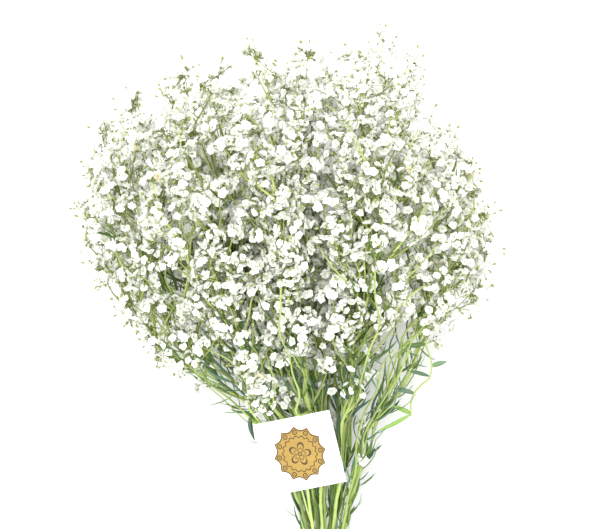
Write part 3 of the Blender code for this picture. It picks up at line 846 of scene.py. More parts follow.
    def stem(self, index: int, florets: Array) -> Stem:
        """Grows one stem.

        Args:
            index: Which stem it is.
            florets: The spots of its florets.

        Returns:
            The stem.
        """
        seed, draw = self.seeds[index], random.Random(self.growth_seed + index)
        cut = -(self.outline.cut_length - draw.uniform(0.0, self.cut_stagger)) / self.outline.reach
        ends = [np.array([*seed, cut]), np.array([*seed, 0.0])]
        leader = Twig(ends, [self.radii[index]] * 2)
        twigs: list[Twig] = []
        self.grow(leader.spots[-1], florets, 0, leader, twigs, draw)
        crown = Twig(
            [leader.spots[-2], leader.spots.pop()],
            [leader.radii[-2] * self.twig_share_of_parent, leader.radii.pop()],
        )
        stub = crown.spots[1] - crown.spots[0]
        leader.spots.append(crown.spots[0] + stub * self.stem_stub / (stub[2] * self.outline.reach))
        leader.radii.append(leader.radii[-1])
        leader = leader.parted(self.outline, self.stem_step)
        dressed = [self.dress_twig(twig, draw) for twig in [crown, *twigs]]
        outer = bool(np.hypot(*seed) > self.leafy_from)
        levels = self.leaf_levels_outside if outer else self.leaf_levels_inside
        leaves = self.leaves(index, leader, levels, self.leaf_length, draw)
        more = np.linspace(*self.more_levels, self.more_pairs[outer])
        more = more[::2] if seed[0] > self.sparse_right_of else more
        leaves += self.leaves(index, leader, more, self.more_length, random.Random(index))
        grown = Stem(
            name=f"stem_{index + 1:02d}",
            leader=self.outline.place(np.array(leader.spots)),
            leader_radii=np.array(leader.radii),
            twigs=[(points, thickness) for points, thickness, _ in dressed],
            cymes=[cyme for _, _, cyme in dressed],
            leaves=leaves,
            shoots=self.shoots(index, leader, random.Random(self.shoot_seed + index)),
        )
        for level, route in self.runners:
            if np.linalg.norm(self.seeds - route[0][:2], axis=1).argmin() == index:
                path = self.outline.place(np.array([leader.spot_at(level), *route]))
                grown.runners.append(path)
                chance = random.Random(self.runner_seed + len(path) + index)
                grown.leaves.extend(self.runner_leaves(path, chance))
        if grown.name == self.shoot_stem:
            self.add_bent_shoot(grown, leader)
        return grown

    def stems(self) -> list[Stem]:
        """Grows every stem.

        Returns:
            The stems.
        """
        owners, florets = self.floret_spots(random.Random(self.floret_seed))
        grown = [self.stem(index, florets[owners == index]) for index in range(self.stem_count)]
        self.fill(grown)
        self.add_singles(grown)
        self.add_corner_leaf(grown)
        return grown

    def add_singles(self, stems: list[Stem]) -> None:
        """Adds the few low florets beside the card, each from the nearest leader below it.

        Args:
            stems: The stems, one of which takes each.
        """
        for place in self.singles:
            feet = [stem.leader[stem.leader[:, 1] < place[1] - self.single_stalk] for stem in stems]
            ends = np.array([points[-1] for points in feet])
            nearest = int((np.abs(ends[:, 0] - place[0]) - ends[:, 2]).argmin())
            foot = ends[nearest]
            height = foot[2] + self.outline.lean * (place[1] - foot[1]) + self.single_height
            tip = np.array((*place, height))
            path = np.stack([foot, (foot + tip) / 2 + UP * self.single_height / 2, tip])
            stems[nearest].singles.append(path)

    def add_corner_leaf(self, stems: list[Stem]) -> None:
        """Adds the leaf that hangs at the card's upper left corner, from the nearest leader.

        Args:
            stems: The stems, one of which takes it.
        """
        root, tip = (np.array(spot) for spot in self.corner_leaf)
        away = [np.linalg.norm(stem.leader[:, :2] - root, axis=1).min() for stem in stems]
        nearest = stems[int(np.argmin(away))]
        path, _ = rounded_path(nearest.leader, np.zeros(len(nearest.leader)), self.path_step)
        foot = path[np.linalg.norm(path[:, :2] - root, axis=1).argmin()]
        nearest.leaves.append(Leaf(foot, np.array((*tip, foot[2] - self.corner_leaf_drop)), UP))

    def fill(self, stems: list[Stem]) -> None:
        """Adds a shoot wherever the head still has room between its cymes.

        Spots are thrown at random in the head and kept where they are far enough from all that
        blooms already. Each is reached from the nearest lower point of the stem that owns it.

        Args:
            stems: The stems, which take the shoots.
        """
        rng = np.random.default_rng(self.fill_seed)
        radius = np.sqrt(rng.random(self.fill_tries))
        turn = rng.uniform(0.0, 2 * math.pi, self.fill_tries)
        across, depth = radius * np.cos(turn), radius * np.sin(turn)
        lowest = self.lowest(across)
        along = lowest + (1.0 - lowest) * np.sqrt(rng.random(self.fill_tries))
        spots = np.stack([across, depth, along * self.fill_reach], axis=-1)
        owner, away = self.wedges(spots)
        points = self.outline.place(spots)
        points[:, 2] = np.maximum(points[:, 2], self.floor + self.fill_height)
        taken = [cyme.base for stem in stems for cyme in stem.cymes]
        knots = [np.concatenate([stem.leader, *(path for path, _ in stem.twigs)]) for stem in stems]
        for index in np.flatnonzero(away > self.leaf_clearance):
            tip, mine = points[index], knots[owner[index]]
            below = mine[mine[:, 1] < tip[1] - self.fill_stalk]
            near = self.fill_spacing[0 if depth[index] < self.fill_upper else 1]
            if np.linalg.norm(np.array(taken) - tip, axis=1).min() < near or not len(below):
                continue
            foot = below[np.linalg.norm(below - tip, axis=1).argmin()]
            bend = self.fill_bend * np.linalg.norm(tip - foot) * rng.uniform(-1.0, 1.0, 3)
            stems[owner[index]].shoots.append(np.stack([foot, (foot + tip) / 2 + bend, tip]))
            taken.append(tip)

    def runner_leaves(self, path: Array, draw: random.Random) -> list[Leaf]:
        """The leaves of a runner, one at each level, to its two sides by turns.

        Args:
            path: The points that it runs through.
            draw: The source of chance.

        Returns:
            The leaves.
        """
        fine, _ = rounded_path(path, np.zeros(len(path)), self.runner_step)
        found = []
        for index, level in enumerate(self.runner_leaf_levels):
            at = int(level * (len(fine) - 2))
            way = unit(fine[at + 1] - fine[at])
            aside = np.cross(way, UP) * (1.0 if index % 2 else -1.0)
            side = aside * draw.uniform(*self.runner_leaf_aside)
            out = unit(way + side + UP * draw.uniform(*self.runner_leaf_up))
            found.append(Leaf(fine[at], fine[at] + out * draw.uniform(*self.leaf_length), aside))
        return found

    def add_bent_shoot(self, stem: Stem, leader: Twig) -> None:
        """Adds the shoot that bends down beside the bunch, with its leaves.

        Args:
            stem: The stem that takes it.
            leader: The stem's leader, as spots.
        """
        spots = np.array(leader.spots)
        route = [at_level(self.shoot_level, spots, self.outline.place(spots))]
        for spot in self.shoot_route:
            route.append(np.array((*spot, route[-1][2] - self.shoot_drop)))
        for index, (where, tip) in enumerate(self.shoot_leaves):
            end = np.array((*tip, route[where][2] + self.shoot_drop * (index % 2)))
            root = route[where] + (route[where - 1] - route[where]) * self.shoot_leaf_root
            stem.leaves.append(Leaf(root, end, -UP))
        stem.bent_shoot = np.array(route)


@dataclass(frozen=True)
class Sway:
    """A gentle waver of everything above the tie, so that no stem runs dead straight."""

    width: float = 0.0030
    depth: float = 0.0022
    calm_below: float = 0.035
    full_above: float = 0.160

    def apply(self, points: Array) -> Array:
        """Moves points sideways and up or down by sums of sines of where they lie.

        Sideways: the width times the sine of (y over 17 mm plus z over 23 mm plus a slow wave
        of x), and about a third as much of a wave that is 2.3 times as short. Up or down: the
        depth times one such sine, which fades near the surface below. Both fade out towards
        the tie.

        Args:
            points: The points.

        Returns:
            The moved points.
        """
        x, y, z = np.moveaxis(points, -1, 0)
        share = smooth(y, self.calm_below, self.full_above)
        first = np.sin(y / 0.017 + z / 0.023 + 3.0 * np.sin(x / 0.060))
        second = np.sin(y / 0.0074 - x / 0.019 + z / 0.011)
        third = np.sin(y / 0.021 - x / 0.027 + 2.0 * np.sin(z / 0.050))
        aside = self.width * share * (first + 0.35 * second)
        lift = self.depth * share * third * smooth(z, 0.010, 0.050)
        return np.stack([x + aside, y, z + lift], axis=-1)


@dataclass(frozen=True)
class FloretShape:
    """A double floret: layers of petals, each a thin closed blade with a ridge across it."""

    layers: tuple[tuple[int, float, float, float], ...] = (
        (5, 1.00, 0.98, 10.0),
        (4, 0.82, 0.84, 40.0),
        (3, 0.60, 0.60, 66.0),
    )
    widest: float = 0.66
    ridge: Pair = (0.09, 0.28)
    root: float = 0.06
    right_lift: float = 0.6
    tip_lift: float = 0.3
    turn_waver: float = 0.22
    rise_waver: float = 12.0
    length_waver: Pair = (0.86, 1.08)
    half_width: Pair = (0.42, 0.56)
    tip_shares: Row = (0.0, 0.75, 0.75, 1.0)
    variants: int = 8

    @property
    def petals(self) -> int:
        """How many petals a floret has."""
        return sum(count for count, *_ in self.layers)

    def points(self, rng: Chance) -> Array:
        """The corners of some unlike florets of radius 1 that face up.

        A petal has its root at the middle, a left and a right corner at its widest place, which
        stand a little above its plane, and a tip. In that plane it runs outwards by its length,
        and the plane is raised by its layer's angle and turned round the middle.

        Args:
            rng: The source of chance.

        Returns:
            The corners, as variant by corner by coordinate.
        """
        blades = []
        for count, length, width, rise in self.layers:
            shape = (self.variants, count)
            turn = np.arange(count) * 2 * math.pi / count
            turn = turn + rng.uniform(*ANY_TURN, (self.variants, 1))
            turn = turn + rng.uniform(-self.turn_waver, self.turn_waver, shape)
            angle = np.radians(rise + rng.uniform(-self.rise_waver, self.rise_waver, shape))
            long = length * rng.uniform(*self.length_waver, shape)
            half = width * rng.uniform(*self.half_width, shape)
            level = np.cos(angle)
            out = np.stack([np.cos(turn) * level, np.sin(turn) * level, np.sin(angle)], -1)
            side = np.stack([-np.sin(turn), np.cos(turn), np.zeros(shape)], -1)
            above = np.cross(out, side)
            middle = out * (long * self.widest)[..., None]
            lift = above * (long * rng.uniform(*self.ridge, shape))[..., None]
            corners = [
                out * self.root,
                middle - side * half[..., None] + lift,
                middle + side * half[..., None] + lift * self.right_lift,
                out * long[..., None] + lift * self.tip_lift,
            ]
            blades.append(np.stack(corners, axis=2).reshape(self.variants, -1, 3))
        return np.concatenate(blades, axis=1)

    def triangles(self) -> Array:
        """The four triangles of each petal, facing out.

        Returns:
            The triangles of one floret.
        """
        root, left, right, tip = range(4)
        blade = [(root, left, right), (left, tip, right), (root, tip, left), (root, right, tip)]
        return (np.array(blade)[None] + 4 * np.arange(self.petals)[:, None, None]).reshape(-1, 3)

    def florets(
        self,
        centres: Array,
        facings: Array,
        radii: Array,
        tips: Array,
        hearts: Array,
        rng: Chance,
    ) -> Patch:
        """Florets at some places.

        Args:
            centres: Where their roots are.
            facings: The ways that they face.
            radii: Their radii.
            tips: The colours of their petals' tips.
            hearts: The colours of their petals' roots.
            rng: The source of chance.

        Returns:
            Their surface.
        """
        count = len(centres)
        shapes = self.points(rng)[rng.integers(0, self.variants, count)]
        side, front = square_frame(facings, rng.uniform(0.0, 2 * math.pi, count))
        axes = np.stack([side, front, facings], axis=1)
        points = centres[:, None] + np.einsum("nvi,nij->nvj", shapes, axes) * radii[:, None, None]
        share = np.tile(self.tip_shares, self.petals)[None, :, None]
        tint = hearts[:, None] + (tips - hearts)[:, None] * share
        return copies(points, self.triangles(), np.zeros((0, 4), dtype=int), tint)


def square_frame(ways: Array, turns: Array) -> tuple[Array, Array]:
    """A side and a front direction square to each way, turned round it by the given angles.

    Args:
        ways: The ways.
        turns: The angles.

    Returns:
        The side directions and the front directions.
    """
    guide = np.eye(3)[np.abs(ways).argmin(axis=-1)]
    side = unit(np.cross(ways, guide))
    front = np.cross(ways, side)
    cosine, sine = np.cos(turns)[:, None], np.sin(turns)[:, None]
    return side * cosine + front * sine, front * cosine - side * sine


def spokes(side: Array, front: Array, angles: Array) -> Array:
    """The directions at some angles between a side and a front direction, as axis by angle."""
    turned = np.cos(angles)[..., None], np.sin(angles)[..., None]
    return side[:, None] * turned[0] + front[:, None] * turned[1]


@dataclass(frozen=True)
class LeafShape:
    """A lance-shaped leaf: a thin closed blade folded along its middle.

    The section is given as shares of the half width, aside and above, and each of its points
    has a shade of its own.
    """

    sections: int
    section: tuple[Pair, ...] = (
        (-1.0, 0.22), (-0.5, 0.08), (0.0, 0.0), (0.5, 0.08), (1.0, 0.22), (0.0, -0.20)
    )
    shades: Row = (1.0, 1.0, 1.25, 1.0, 1.0, 0.9)
    least_width: float = 0.16
    root_shift: float = 1.02
    fullness: float = 0.8
    tip_width: float = 0.15
    bow: Pair = (0.05, 0.13)
    swing: float = 0.06
    twist: float = 0.5

    def blades(self, leaves: list[Leaf], widths: Array, tint: Array, rng: Chance) -> Patch:
        """Leaves of this shape.

        At the share t of its length a leaf's half width is its widest half times (the least
        width plus the rest times the sine of pi times (the shifted t) to the fullness, itself
        to the fullness). Its middle line runs from root to tip and bows outwards and swings
        aside by a sine of pi t. It twists evenly on its way to the tip.

        Args:
            leaves: The leaves.
            widths: Their widths.
            tint: Their colours.
            rng: The source of chance.

        Returns:
            Their surface.
        """
        root = np.array([leaf.root for leaf in leaves])
        tip = np.array([leaf.tip for leaf in leaves])
        outward = np.array([leaf.outward for leaf in leaves])
        length = np.linalg.norm(tip - root, axis=1)
        way = unit(tip - root)
        side = unit(np.cross(way, unit(outward)))
        back = np.cross(side, way)
        back *= np.sign((back * outward).sum(axis=1, keepdims=True) + 1e-9)
        t = np.linspace(0.0, 1.0, self.sections)
        bow = rng.uniform(*self.bow, len(leaves)) * length
        swing = rng.uniform(-self.swing, self.swing, len(leaves)) * length
        middle = (
            root[:, None]
            + way[:, None] * (t[:, None] * length[:, None, None])
            + back[:, None] * (np.sin(math.pi * t)[:, None] * bow[:, None, None])
            + side[:, None] * (np.sin(math.pi * t)[:, None] * swing[:, None, None])
        )
        shifted = np.clip(t * self.root_shift, 0, 1)
        swell = np.sin(math.pi * shifted**self.fullness) ** self.fullness
        half = widths[:, None] / 2 * (self.least_width + (1.0 - self.least_width) * swell)
        half[:, -1] *= self.tip_width
        twist = rng.uniform(-self.twist, self.twist, len(leaves))[:, None] * t
        cosine, sine = np.cos(twist)[..., None], np.sin(twist)[..., None]
        wide = side[:, None] * cosine + back[:, None] * sine
        thick = back[:, None] * cosine - side[:, None] * sine
        half = half[..., None]
        corners = [wide * (aside * half) - thick * (above * half) for aside, above in self.section]
        rings = (middle[:, :, None] + np.stack(corners, axis=2)).reshape(len(leaves), -1, 3)
        points = np.concatenate([rings, root[:, None], middle[:, -1:]], axis=1)
        faces = skin(self.sections, len(self.section))
        shade = np.concatenate([np.tile(self.shades, self.sections), [1.0, 1.0]])
        tint = tint[:, None] * shade[None, :, None]
        return copies(points, *map(turned_over, faces), tint)


def bowed(starts: Array, ways: Array, ends: Array, count: int) -> Array:
    """Curves that set out along the given ways and end at the given ends.

    With t from 0 to 1, a curve is (1 - t) squared times its start, plus 2 t (1 - t) times its
    bend, plus t squared times its end. The bend lies half the distance on along the way.

    Args:
        starts: Where the curves begin.
        ways: The directions that they set out in.
        ends: Where they end.
        count: How many points each has.

    Returns:
        The curves, as curve by point by coordinate.
    """
    t = np.linspace(0.0, 1.0, count)[None, :, None]
    reach = np.linalg.norm(ends - starts, axis=1, keepdims=True)
    bend = starts + ways * reach * 0.5
    return (1 - t) ** 2 * starts[:, None] + 2 * t * (1 - t) * bend[:, None] + t**2 * ends[:, None]


def between(low: Tint, high: Tint, share: Array) -> Array:
    """Colours from one tint to another, one for each share."""
    return low.rgb + (high.rgb - low.rgb) * np.clip(np.asarray(share), 0.0, 1.0)[..., None]


@dataclass
class Spray:
    """Where sprays of florets sit: their roots, the ways they face, their radii and turns."""

    bases: Array
    facings: Array
    radii: Array
    turns: Array


@dataclass
class Dresser:
    """Makes each grown stem into a green piece and a piece of florets."""

    shift: Array
    card: "Card"
    ceiling: float
    sway: Sway = field(default_factory=Sway)
    shape: FloretShape = field(default_factory=FloretShape)
    stem_tone: Pair = (0.40, 1.40)
    leader_step: float = 0.004
    twig_step: float = 0.008
    shoot_step: float = 0.012
    bent_step: float = 0.003
    side_path_step: float = 0.002
    leader_slimness: float = 0.88
    twig_slimness: float = 0.78
    shoot_radii: Row = (0.0010, 0.0008, 0.0005)
    runner_radii: Pair = (0.0012, 0.0007)
    bent_radius: float = 0.0008
    single_radii: Row = (0.0008, 0.0006, 0.0004)
    side_radii: Row = (0.00042, 0.00034)
    limb_radii: Row = (0.00038, 0.00034, 0.00030)
    pedicel_radii: Row = (0.00026, 0.00034, 0.00100)
    knee_swelling: float = 0.35
    knee_length: float = 0.0018
    head_height: float = 0.42
    cyme_florets: int = 20
    side_florets: int = 6
    shoot_florets: int = 9
    single_florets: int = 3
    branches: int = 4
    limb_out: float = 0.26
    limb_up: float = 0.16
    limb_sink: float = 0.0008
    spread: float = 1.06
    spread_waver: Pair = (0.88, 1.10)
    angle_waver: float = 0.35
    height_waver: float = 0.06
    way_waver: float = 0.20
    way_low: float = 0.12
    dome: Pair = (0.04, 0.50)
    floret_radius: Pair = (0.0037, 0.0048)
    petal_shade: Pair = (0.93, 1.0)
    calyx_length: float = 0.0017
    bud_share: float = 0.14
    bud_size: Pair = (0.0009, 0.0014)
    bud_steps: Row = (0.0, 0.40, 1.0)
    bud_radii: Row = (0.35, 1.0, 0.45)
    bud_length: float = 2.6
    withered_share: float = 0.006
    side_levels: Row = (0.023, 0.044)
    side_level_waver: Pair = (0.85, 1.15)
    side_room: float = 0.006
    side_lean: float = 0.7
    side_stalk: float = 0.012
    side_stalk_waver: Pair = (0.8, 1.3)
    side_radius: float = 0.0095
    shoot_radius: float = 0.0115
    single_radius: float = 0.0040
    fringe_buds: int = 5
    fringe_bud_size: Pair = (0.0008, 0.0013)
    fringe_reach: Pair = (0.0150, 0.0185)
    fringe_waver: float = 0.6
    fringe_forward: Pair = (0.3, 1.3)
    leaf_width: Pair = (0.0032, 0.0046)
    leaf_shade: Pair = (0.45, 1.15)
    leaf: LeafShape = LeafShape(sections=8)
    bright_share: float = 0.35
    # the levels over which the leaves' painted shade sets in
    painted_shade_above: Pair = (0.14, 0.24)
    bracts_below: float = 0.32
    bract_length: Pair = (0.014, 0.027)
    bract_width: Pair = (0.0019, 0.0031)
    bract_opening: Pair = (0.3, 0.8)
    bract: LeafShape = LeafShape(sections=4)

    def settle(self, surface: Surface) -> None:
        """Sways every point, moves it to the frame's place and keeps it in the bunch's depth.

        Args:
            surface: The surface, whose patches are changed.
        """
        for patch in surface.patches:
            moved = self.sway.apply(patch.points) + self.shift
            moved[:, 2] = np.clip(moved[:, 2], 0.0, self.ceiling)
            patch.points = moved

    def stalk(
        self, points: Array, radii: Array, step: float, sides: int, tone: float = 1.0
    ) -> Patch:
        """One smooth stalk, its colour by its height in the bunch.

        Args:
            points: The points that it runs through.
            radii: Its radius at each.
            step: The length of its runs.
            sides: How many sides it has.
            tone: How light it is.

        Returns:
            Its surface.
        """
        path, thickness = rounded_path(points, radii, step)
        ends = between(Tint.STEM_LOW, Tint.STEM_HIGH, path[[0, -1], 1] / self.head_height)
        return tubes(path[None], thickness[None], sides, ends[:1] * tone, ends[1:] * tone)

    def leader(self, stem: Stem, tone: float) -> Patch:
        """The stem's leader, swollen a little at the knee below each leaf.

        Args:
            stem: The stem.
            tone: How light it is.

        Returns:
            Its surface.
        """
        path, radii = rounded_path(stem.leader, stem.leader_radii, self.leader_step)
        knees = np.array([leaf.root for leaf in stem.leaves])
        nearest = np.linalg.norm(path[:, None] - knees[None], axis=-1).min(axis=1)
        radii = radii * self.leader_slimness
        radii *= 1.0 + self.knee_swelling * np.exp(-((nearest / self.knee_length) ** 2))
        ends = between(Tint.STEM_LOW, Tint.STEM_HIGH, path[[0, -1], 1] / self.head_height)
        made = tubes(path[None], radii[None], 9, ends[:1] * tone, ends[1:] * tone)
        made.tint[-2] = Tint.CUT.rgb
        return made

    @staticmethod
    def threads(paths: Array, radii: Row, top: Tint) -> Patch:
        """Thin three-sided stalks with the same radii, in a stalk's colour up to their top's."""
        return tubes(paths, np.tile(radii, (len(paths), 1)), 3, Tint.PEDICEL.rgb, top.rgb)

    def buds(self, roots: Array, ways: Array, size: Array) -> Patch:
        """Round closed buds, green below and paler above.

        Args:
            roots: Where they begin.
            ways: The directions that they stand in.
            size: Their greatest radii.

        Returns:
            Their surface.
        """
        steps = np.array(self.bud_steps)[None, :, None]
        paths = roots[:, None] + ways[:, None] * steps * (self.bud_length * size)[:, None, None]
        radii = np.array(self.bud_radii)[None] * size[:, None]
        return tubes(paths, radii, 4, Tint.CALYX.rgb, Tint.BUD.rgb)

    def florets(
        self, green: Surface, white: Surface, spray: Spray, count: int, rng: Chance
    ) -> None:
        """Fills sprays with florets on a dome, each on its own thin stalk.

        Floret k of n lies at the golden angle times k, and at the spread times the root of
        (k + 0.5) / n of the spray's radius from its axis. Its height is the dome's low share
        plus its high share times the root of 1 less that distance squared.

        Args:
            green: The surface that takes stalks, calyces and buds.
            white: The surface that takes petals.
            spray: Where the sprays sit.
            count: How many florets and buds each spray has.
            rng: The source of chance.
        """
        number = len(spray.bases)
        if not number:
            return
        side, front = square_frame(spray.facings, spray.turns)
        every = (number, count)
        angle = np.arange(count) * GOLDEN_ANGLE
        angle = angle + rng.uniform(-self.angle_waver, self.angle_waver, every)
        reach = self.spread * np.sqrt((np.arange(count) + 0.5) / count)
        reach = reach * rng.uniform(*self.spread_waver, every)
        low, high = self.dome
        height = low + high * np.sqrt(np.maximum(1.0 - reach**2, 0.0))
        height += rng.uniform(-self.height_waver, self.height_waver, every)
        bases, facings = spray.bases[:, None], spray.facings[:, None]
        size = spray.radii[:, None, None]
        roots = spokes(side, front, angle) * reach[..., None] + facings * height[..., None]
        roots = bases + roots * size
        waver = rng.normal(0.0, self.way_waver, roots.shape) * size
        ways = unit(roots - bases - facings * size * self.way_low + waver)
        limb = np.floor(angle / (2 * math.pi / self.branches)) % self.branches
        limb_angle = (np.arange(self.branches) + 0.5) * 2 * math.pi / self.branches
        limb_way = spokes(side, front, limb_angle)
        limb_ends = bases + (limb_way * self.limb_out + facings * self.limb_up) * size
        starts = np.broadcast_to(bases - facings * self.limb_sink, limb_ends.shape).reshape(-1, 3)
        along = np.broadcast_to(facings, limb_ends.shape).reshape(-1, 3)
        paths = bowed(starts, along, limb_ends.reshape(-1, 3), len(self.limb_radii))
        green.add(self.threads(paths, self.limb_radii, Tint.PEDICEL))
        forks = np.take_along_axis(limb_ends, limb.astype(int)[..., None], axis=1).reshape(-1, 3)
        roots, ways = roots.reshape(-1, 3), ways.reshape(-1, 3)
        cups = roots - ways * self.calyx_length
        closed = rng.random(len(roots)) < self.bud_share
        paths = np.stack([forks[closed], cups[closed]], axis=1)
        green.add(self.threads(paths, self.pedicel_radii[:1] * 2, Tint.CALYX))
        green.add(self.buds(cups[closed], ways[closed], rng.uniform(*self.bud_size, closed.sum())))
        roots, ways = roots[~closed], ways[~closed]
        paths = np.stack([forks[~closed], cups[~closed], roots], axis=1)
        green.add(self.threads(paths, self.pedicel_radii, Tint.CALYX))
        tips = Tint.PETAL.rgb * rng.uniform(*self.petal_shade, (len(roots), 1))
        tips[rng.random(len(roots)) < self.withered_share] = Tint.WITHERED.rgb
        hearts = between(Tint.PETAL, Tint.HEART, rng.uniform(0.5, 1.0, len(roots)))
        radii = rng.uniform(*self.floret_radius, len(roots))
        white.add(self.shape.florets(roots, ways, radii, tips, hearts, rng))

    @staticmethod
    def scattered(
        bases: list[Array],
        facings: list[Array],
        radius: float,
        least: float,
        rng: Chance,
        most: float = 1.15,
    ) -> Spray:
        """Sprays at some places, turned by chance.

        Args:
            bases: Where they sit.
            facings: The ways that they face.
            radius: Their usual radius.
            least: The smallest one, as a share of it.
            rng: The source of chance.
            most: The largest one, as a share of it.

        Returns:
            The sprays.
        """
        count = len(bases)
        radii = radius * rng.uniform(least, most, count)
        return Spray(np.array(bases), np.array(facings), radii, rng.uniform(*ANY_TURN, count))

    def side_sprays(self, green: Surface, stem: Stem, rng: Chance) -> Spray:
        """Adds the stalks of the small sprays along the twigs.

        Args:
            green: The surface that takes the stalks.
            stem: The stem.
            rng: The source of chance.

        Returns:
            Where the sprays sit.
        """
        bases, facings = [], []
        for points, radii in stem.twigs:
            path, _ = rounded_path(points, radii, self.side_path_step)
            runs = np.linalg.norm(np.diff(path, axis=0), axis=1)
            left = np.concatenate([np.cumsum(runs[::-1])[::-1], [0.0]])
            for level in self.side_levels:
                level *= rng.uniform(*self.side_level_waver)
                if left[0] < level + self.side_room:
                    continue
                at = int(np.abs(left - level).argmin())
                way = unit(path[min(at + 1, len(path) - 1)] - path[at - 1])
                aside, _ = square_frame(way[None], rng.uniform(0.0, 2 * math.pi, 1))
                out = unit(way * self.side_lean + aside[0])
                base = path[at] + out * self.side_stalk * rng.uniform(*self.side_stalk_waver)
                if self.card.covers(base[None] + self.shift):
                    continue
                ends = np.stack([path[at], base])
                green.add(self.stalk(ends, np.array(self.side_radii), self.leader_step, 4))
                bases.append(base)
                facings.append(out)
        return self.scattered(bases, facings, self.side_radius, 0.80, rng)

    def shoot_sprays(self, green: Surface, stem: Stem, rng: Chance) -> Spray:
        """Adds the low side shoots.

        Args:
            green: The surface that takes them.
            stem: The stem.
            rng: The source of chance.

        Returns:
            Where their sprays sit.
        """
        bases, facings = [], []
        for shoot in stem.shoots:
            path, _ = rounded_path(shoot, np.zeros(len(shoot)), self.twig_step)
            if self.card.covers(path[len(path) // 2:] + self.shift):
                continue
            tone = rng.uniform(*self.stem_tone)
            green.add(self.stalk(shoot, np.array(self.shoot_radii), self.shoot_step, 4, tone))
            bases.append(path[-1])
            facings.append(unit(path[-1] - path[-2]))
        return self.scattered(bases, facings, self.shoot_radius, 0.75, rng)

    def seen(self, leaf: Leaf) -> bool:
        """Whether a leaf lies clear of the card."""
        points = leaf.root + (leaf.tip - leaf.root) * np.linspace(0.0, 1.0, 5)[:, None]
        return not self.card.covers(points + self.shift)

    def foliage(self, green: Surface, stem: Stem, rng: Chance) -> None:
        """Adds the stem's own leaves, grey or bright green below and, as painted shade, a darker
        deep green higher up inside the head.

        Args:
            green: The surface that takes them.
            stem: The stem.
            rng: The source of chance.
        """
        leaves = [leaf for leaf in stem.leaves if self.seen(leaf)]
        bright = rng.random(len(leaves)) < self.bright_share
        tint = np.where(bright[:, None], Tint.LEAF_BRIGHT.rgb, Tint.LEAF_GREY.rgb)
        height = np.array([leaf.root[1] for leaf in leaves])
        # painted shade: leaves higher up, inside the head, turn to the darker deep green
        tint = tint + (Tint.LEAF_DEEP.rgb - tint) * smooth(height, *self.painted_shade_above)[:, None]
        tint = tint * rng.uniform(*self.leaf_shade, (len(leaves), 1))
        widths = rng.uniform(*self.leaf_width, len(leaves))
        green.add(self.leaf.blades(leaves, widths, tint, rng))

    def bracts(self, green: Surface, stem: Stem, rng: Chance) -> None:
        """Adds the pairs of small narrow leaves where the twigs fork off and half way on.

        Args:
            green: The surface that takes them.
            stem: The stem.
            rng: The source of chance.
        """
        leaves = []
        for points, _ in stem.twigs:
            if points[0][1] > self.bracts_below:
                continue
            middle = (points[0] + points[1]) / 2
            way = unit(points[1] - points[0])
            for root in (points[0], middle):
                aside, _ = square_frame(way[None], rng.uniform(0.0, 2 * math.pi, 1))
                for hand in (-1.0, 1.0):
                    out = unit(way + aside[0] * hand * rng.uniform(*self.bract_opening))
                    tip = root + out * rng.uniform(*self.bract_length)
                    leaf = Leaf(root, tip, aside[0] * hand)
                    if self.seen(leaf):
                        leaves.append(leaf)
        if leaves:
            # the bracts' colours run at random from bright green to past the painted shade's darker
            # deep green
            tint = between(Tint.LEAF_BRIGHT, Tint.LEAF_DEEP, rng.uniform(0.0, 1.3, len(leaves)))
            widths = rng.uniform(*self.bract_width, len(leaves))
            green.add(self.bract.blades(leaves, widths, tint, rng))

    def fringe(self, green: Surface, spray: Spray, rng: Chance) -> None:
        """Adds buds on long thin stalks that stand out round each cyme.

        Args:
            green: The surface that takes them.
            spray: Where the cymes sit.
            rng: The source of chance.
        """
        count = self.fringe_buds
        side, front = square_frame(spray.facings, spray.turns)
        waver = rng.uniform(-self.fringe_waver, self.fringe_waver, (len(side), count))
        radial = spokes(side, front, np.arange(count) * 2 * math.pi / count + waver)
        facings = np.broadcast_to(spray.facings[:, None], radial.shape)
        forward = rng.uniform(*self.fringe_forward, waver.shape)[..., None]
        ways = unit(radial + facings * forward).reshape(-1, 3)
        bases = np.repeat(spray.bases, count, axis=0)
        ends = bases + ways * rng.uniform(*self.fringe_reach, len(bases))[:, None]
        paths = bowed(bases, facings.reshape(-1, 3), ends, 4)
        green.add(self.threads(paths, self.pedicel_radii[:1] * 4, Tint.PEDICEL))
        green.add(self.buds(ends, ways, rng.uniform(*self.fringe_bud_size, len(ends))))

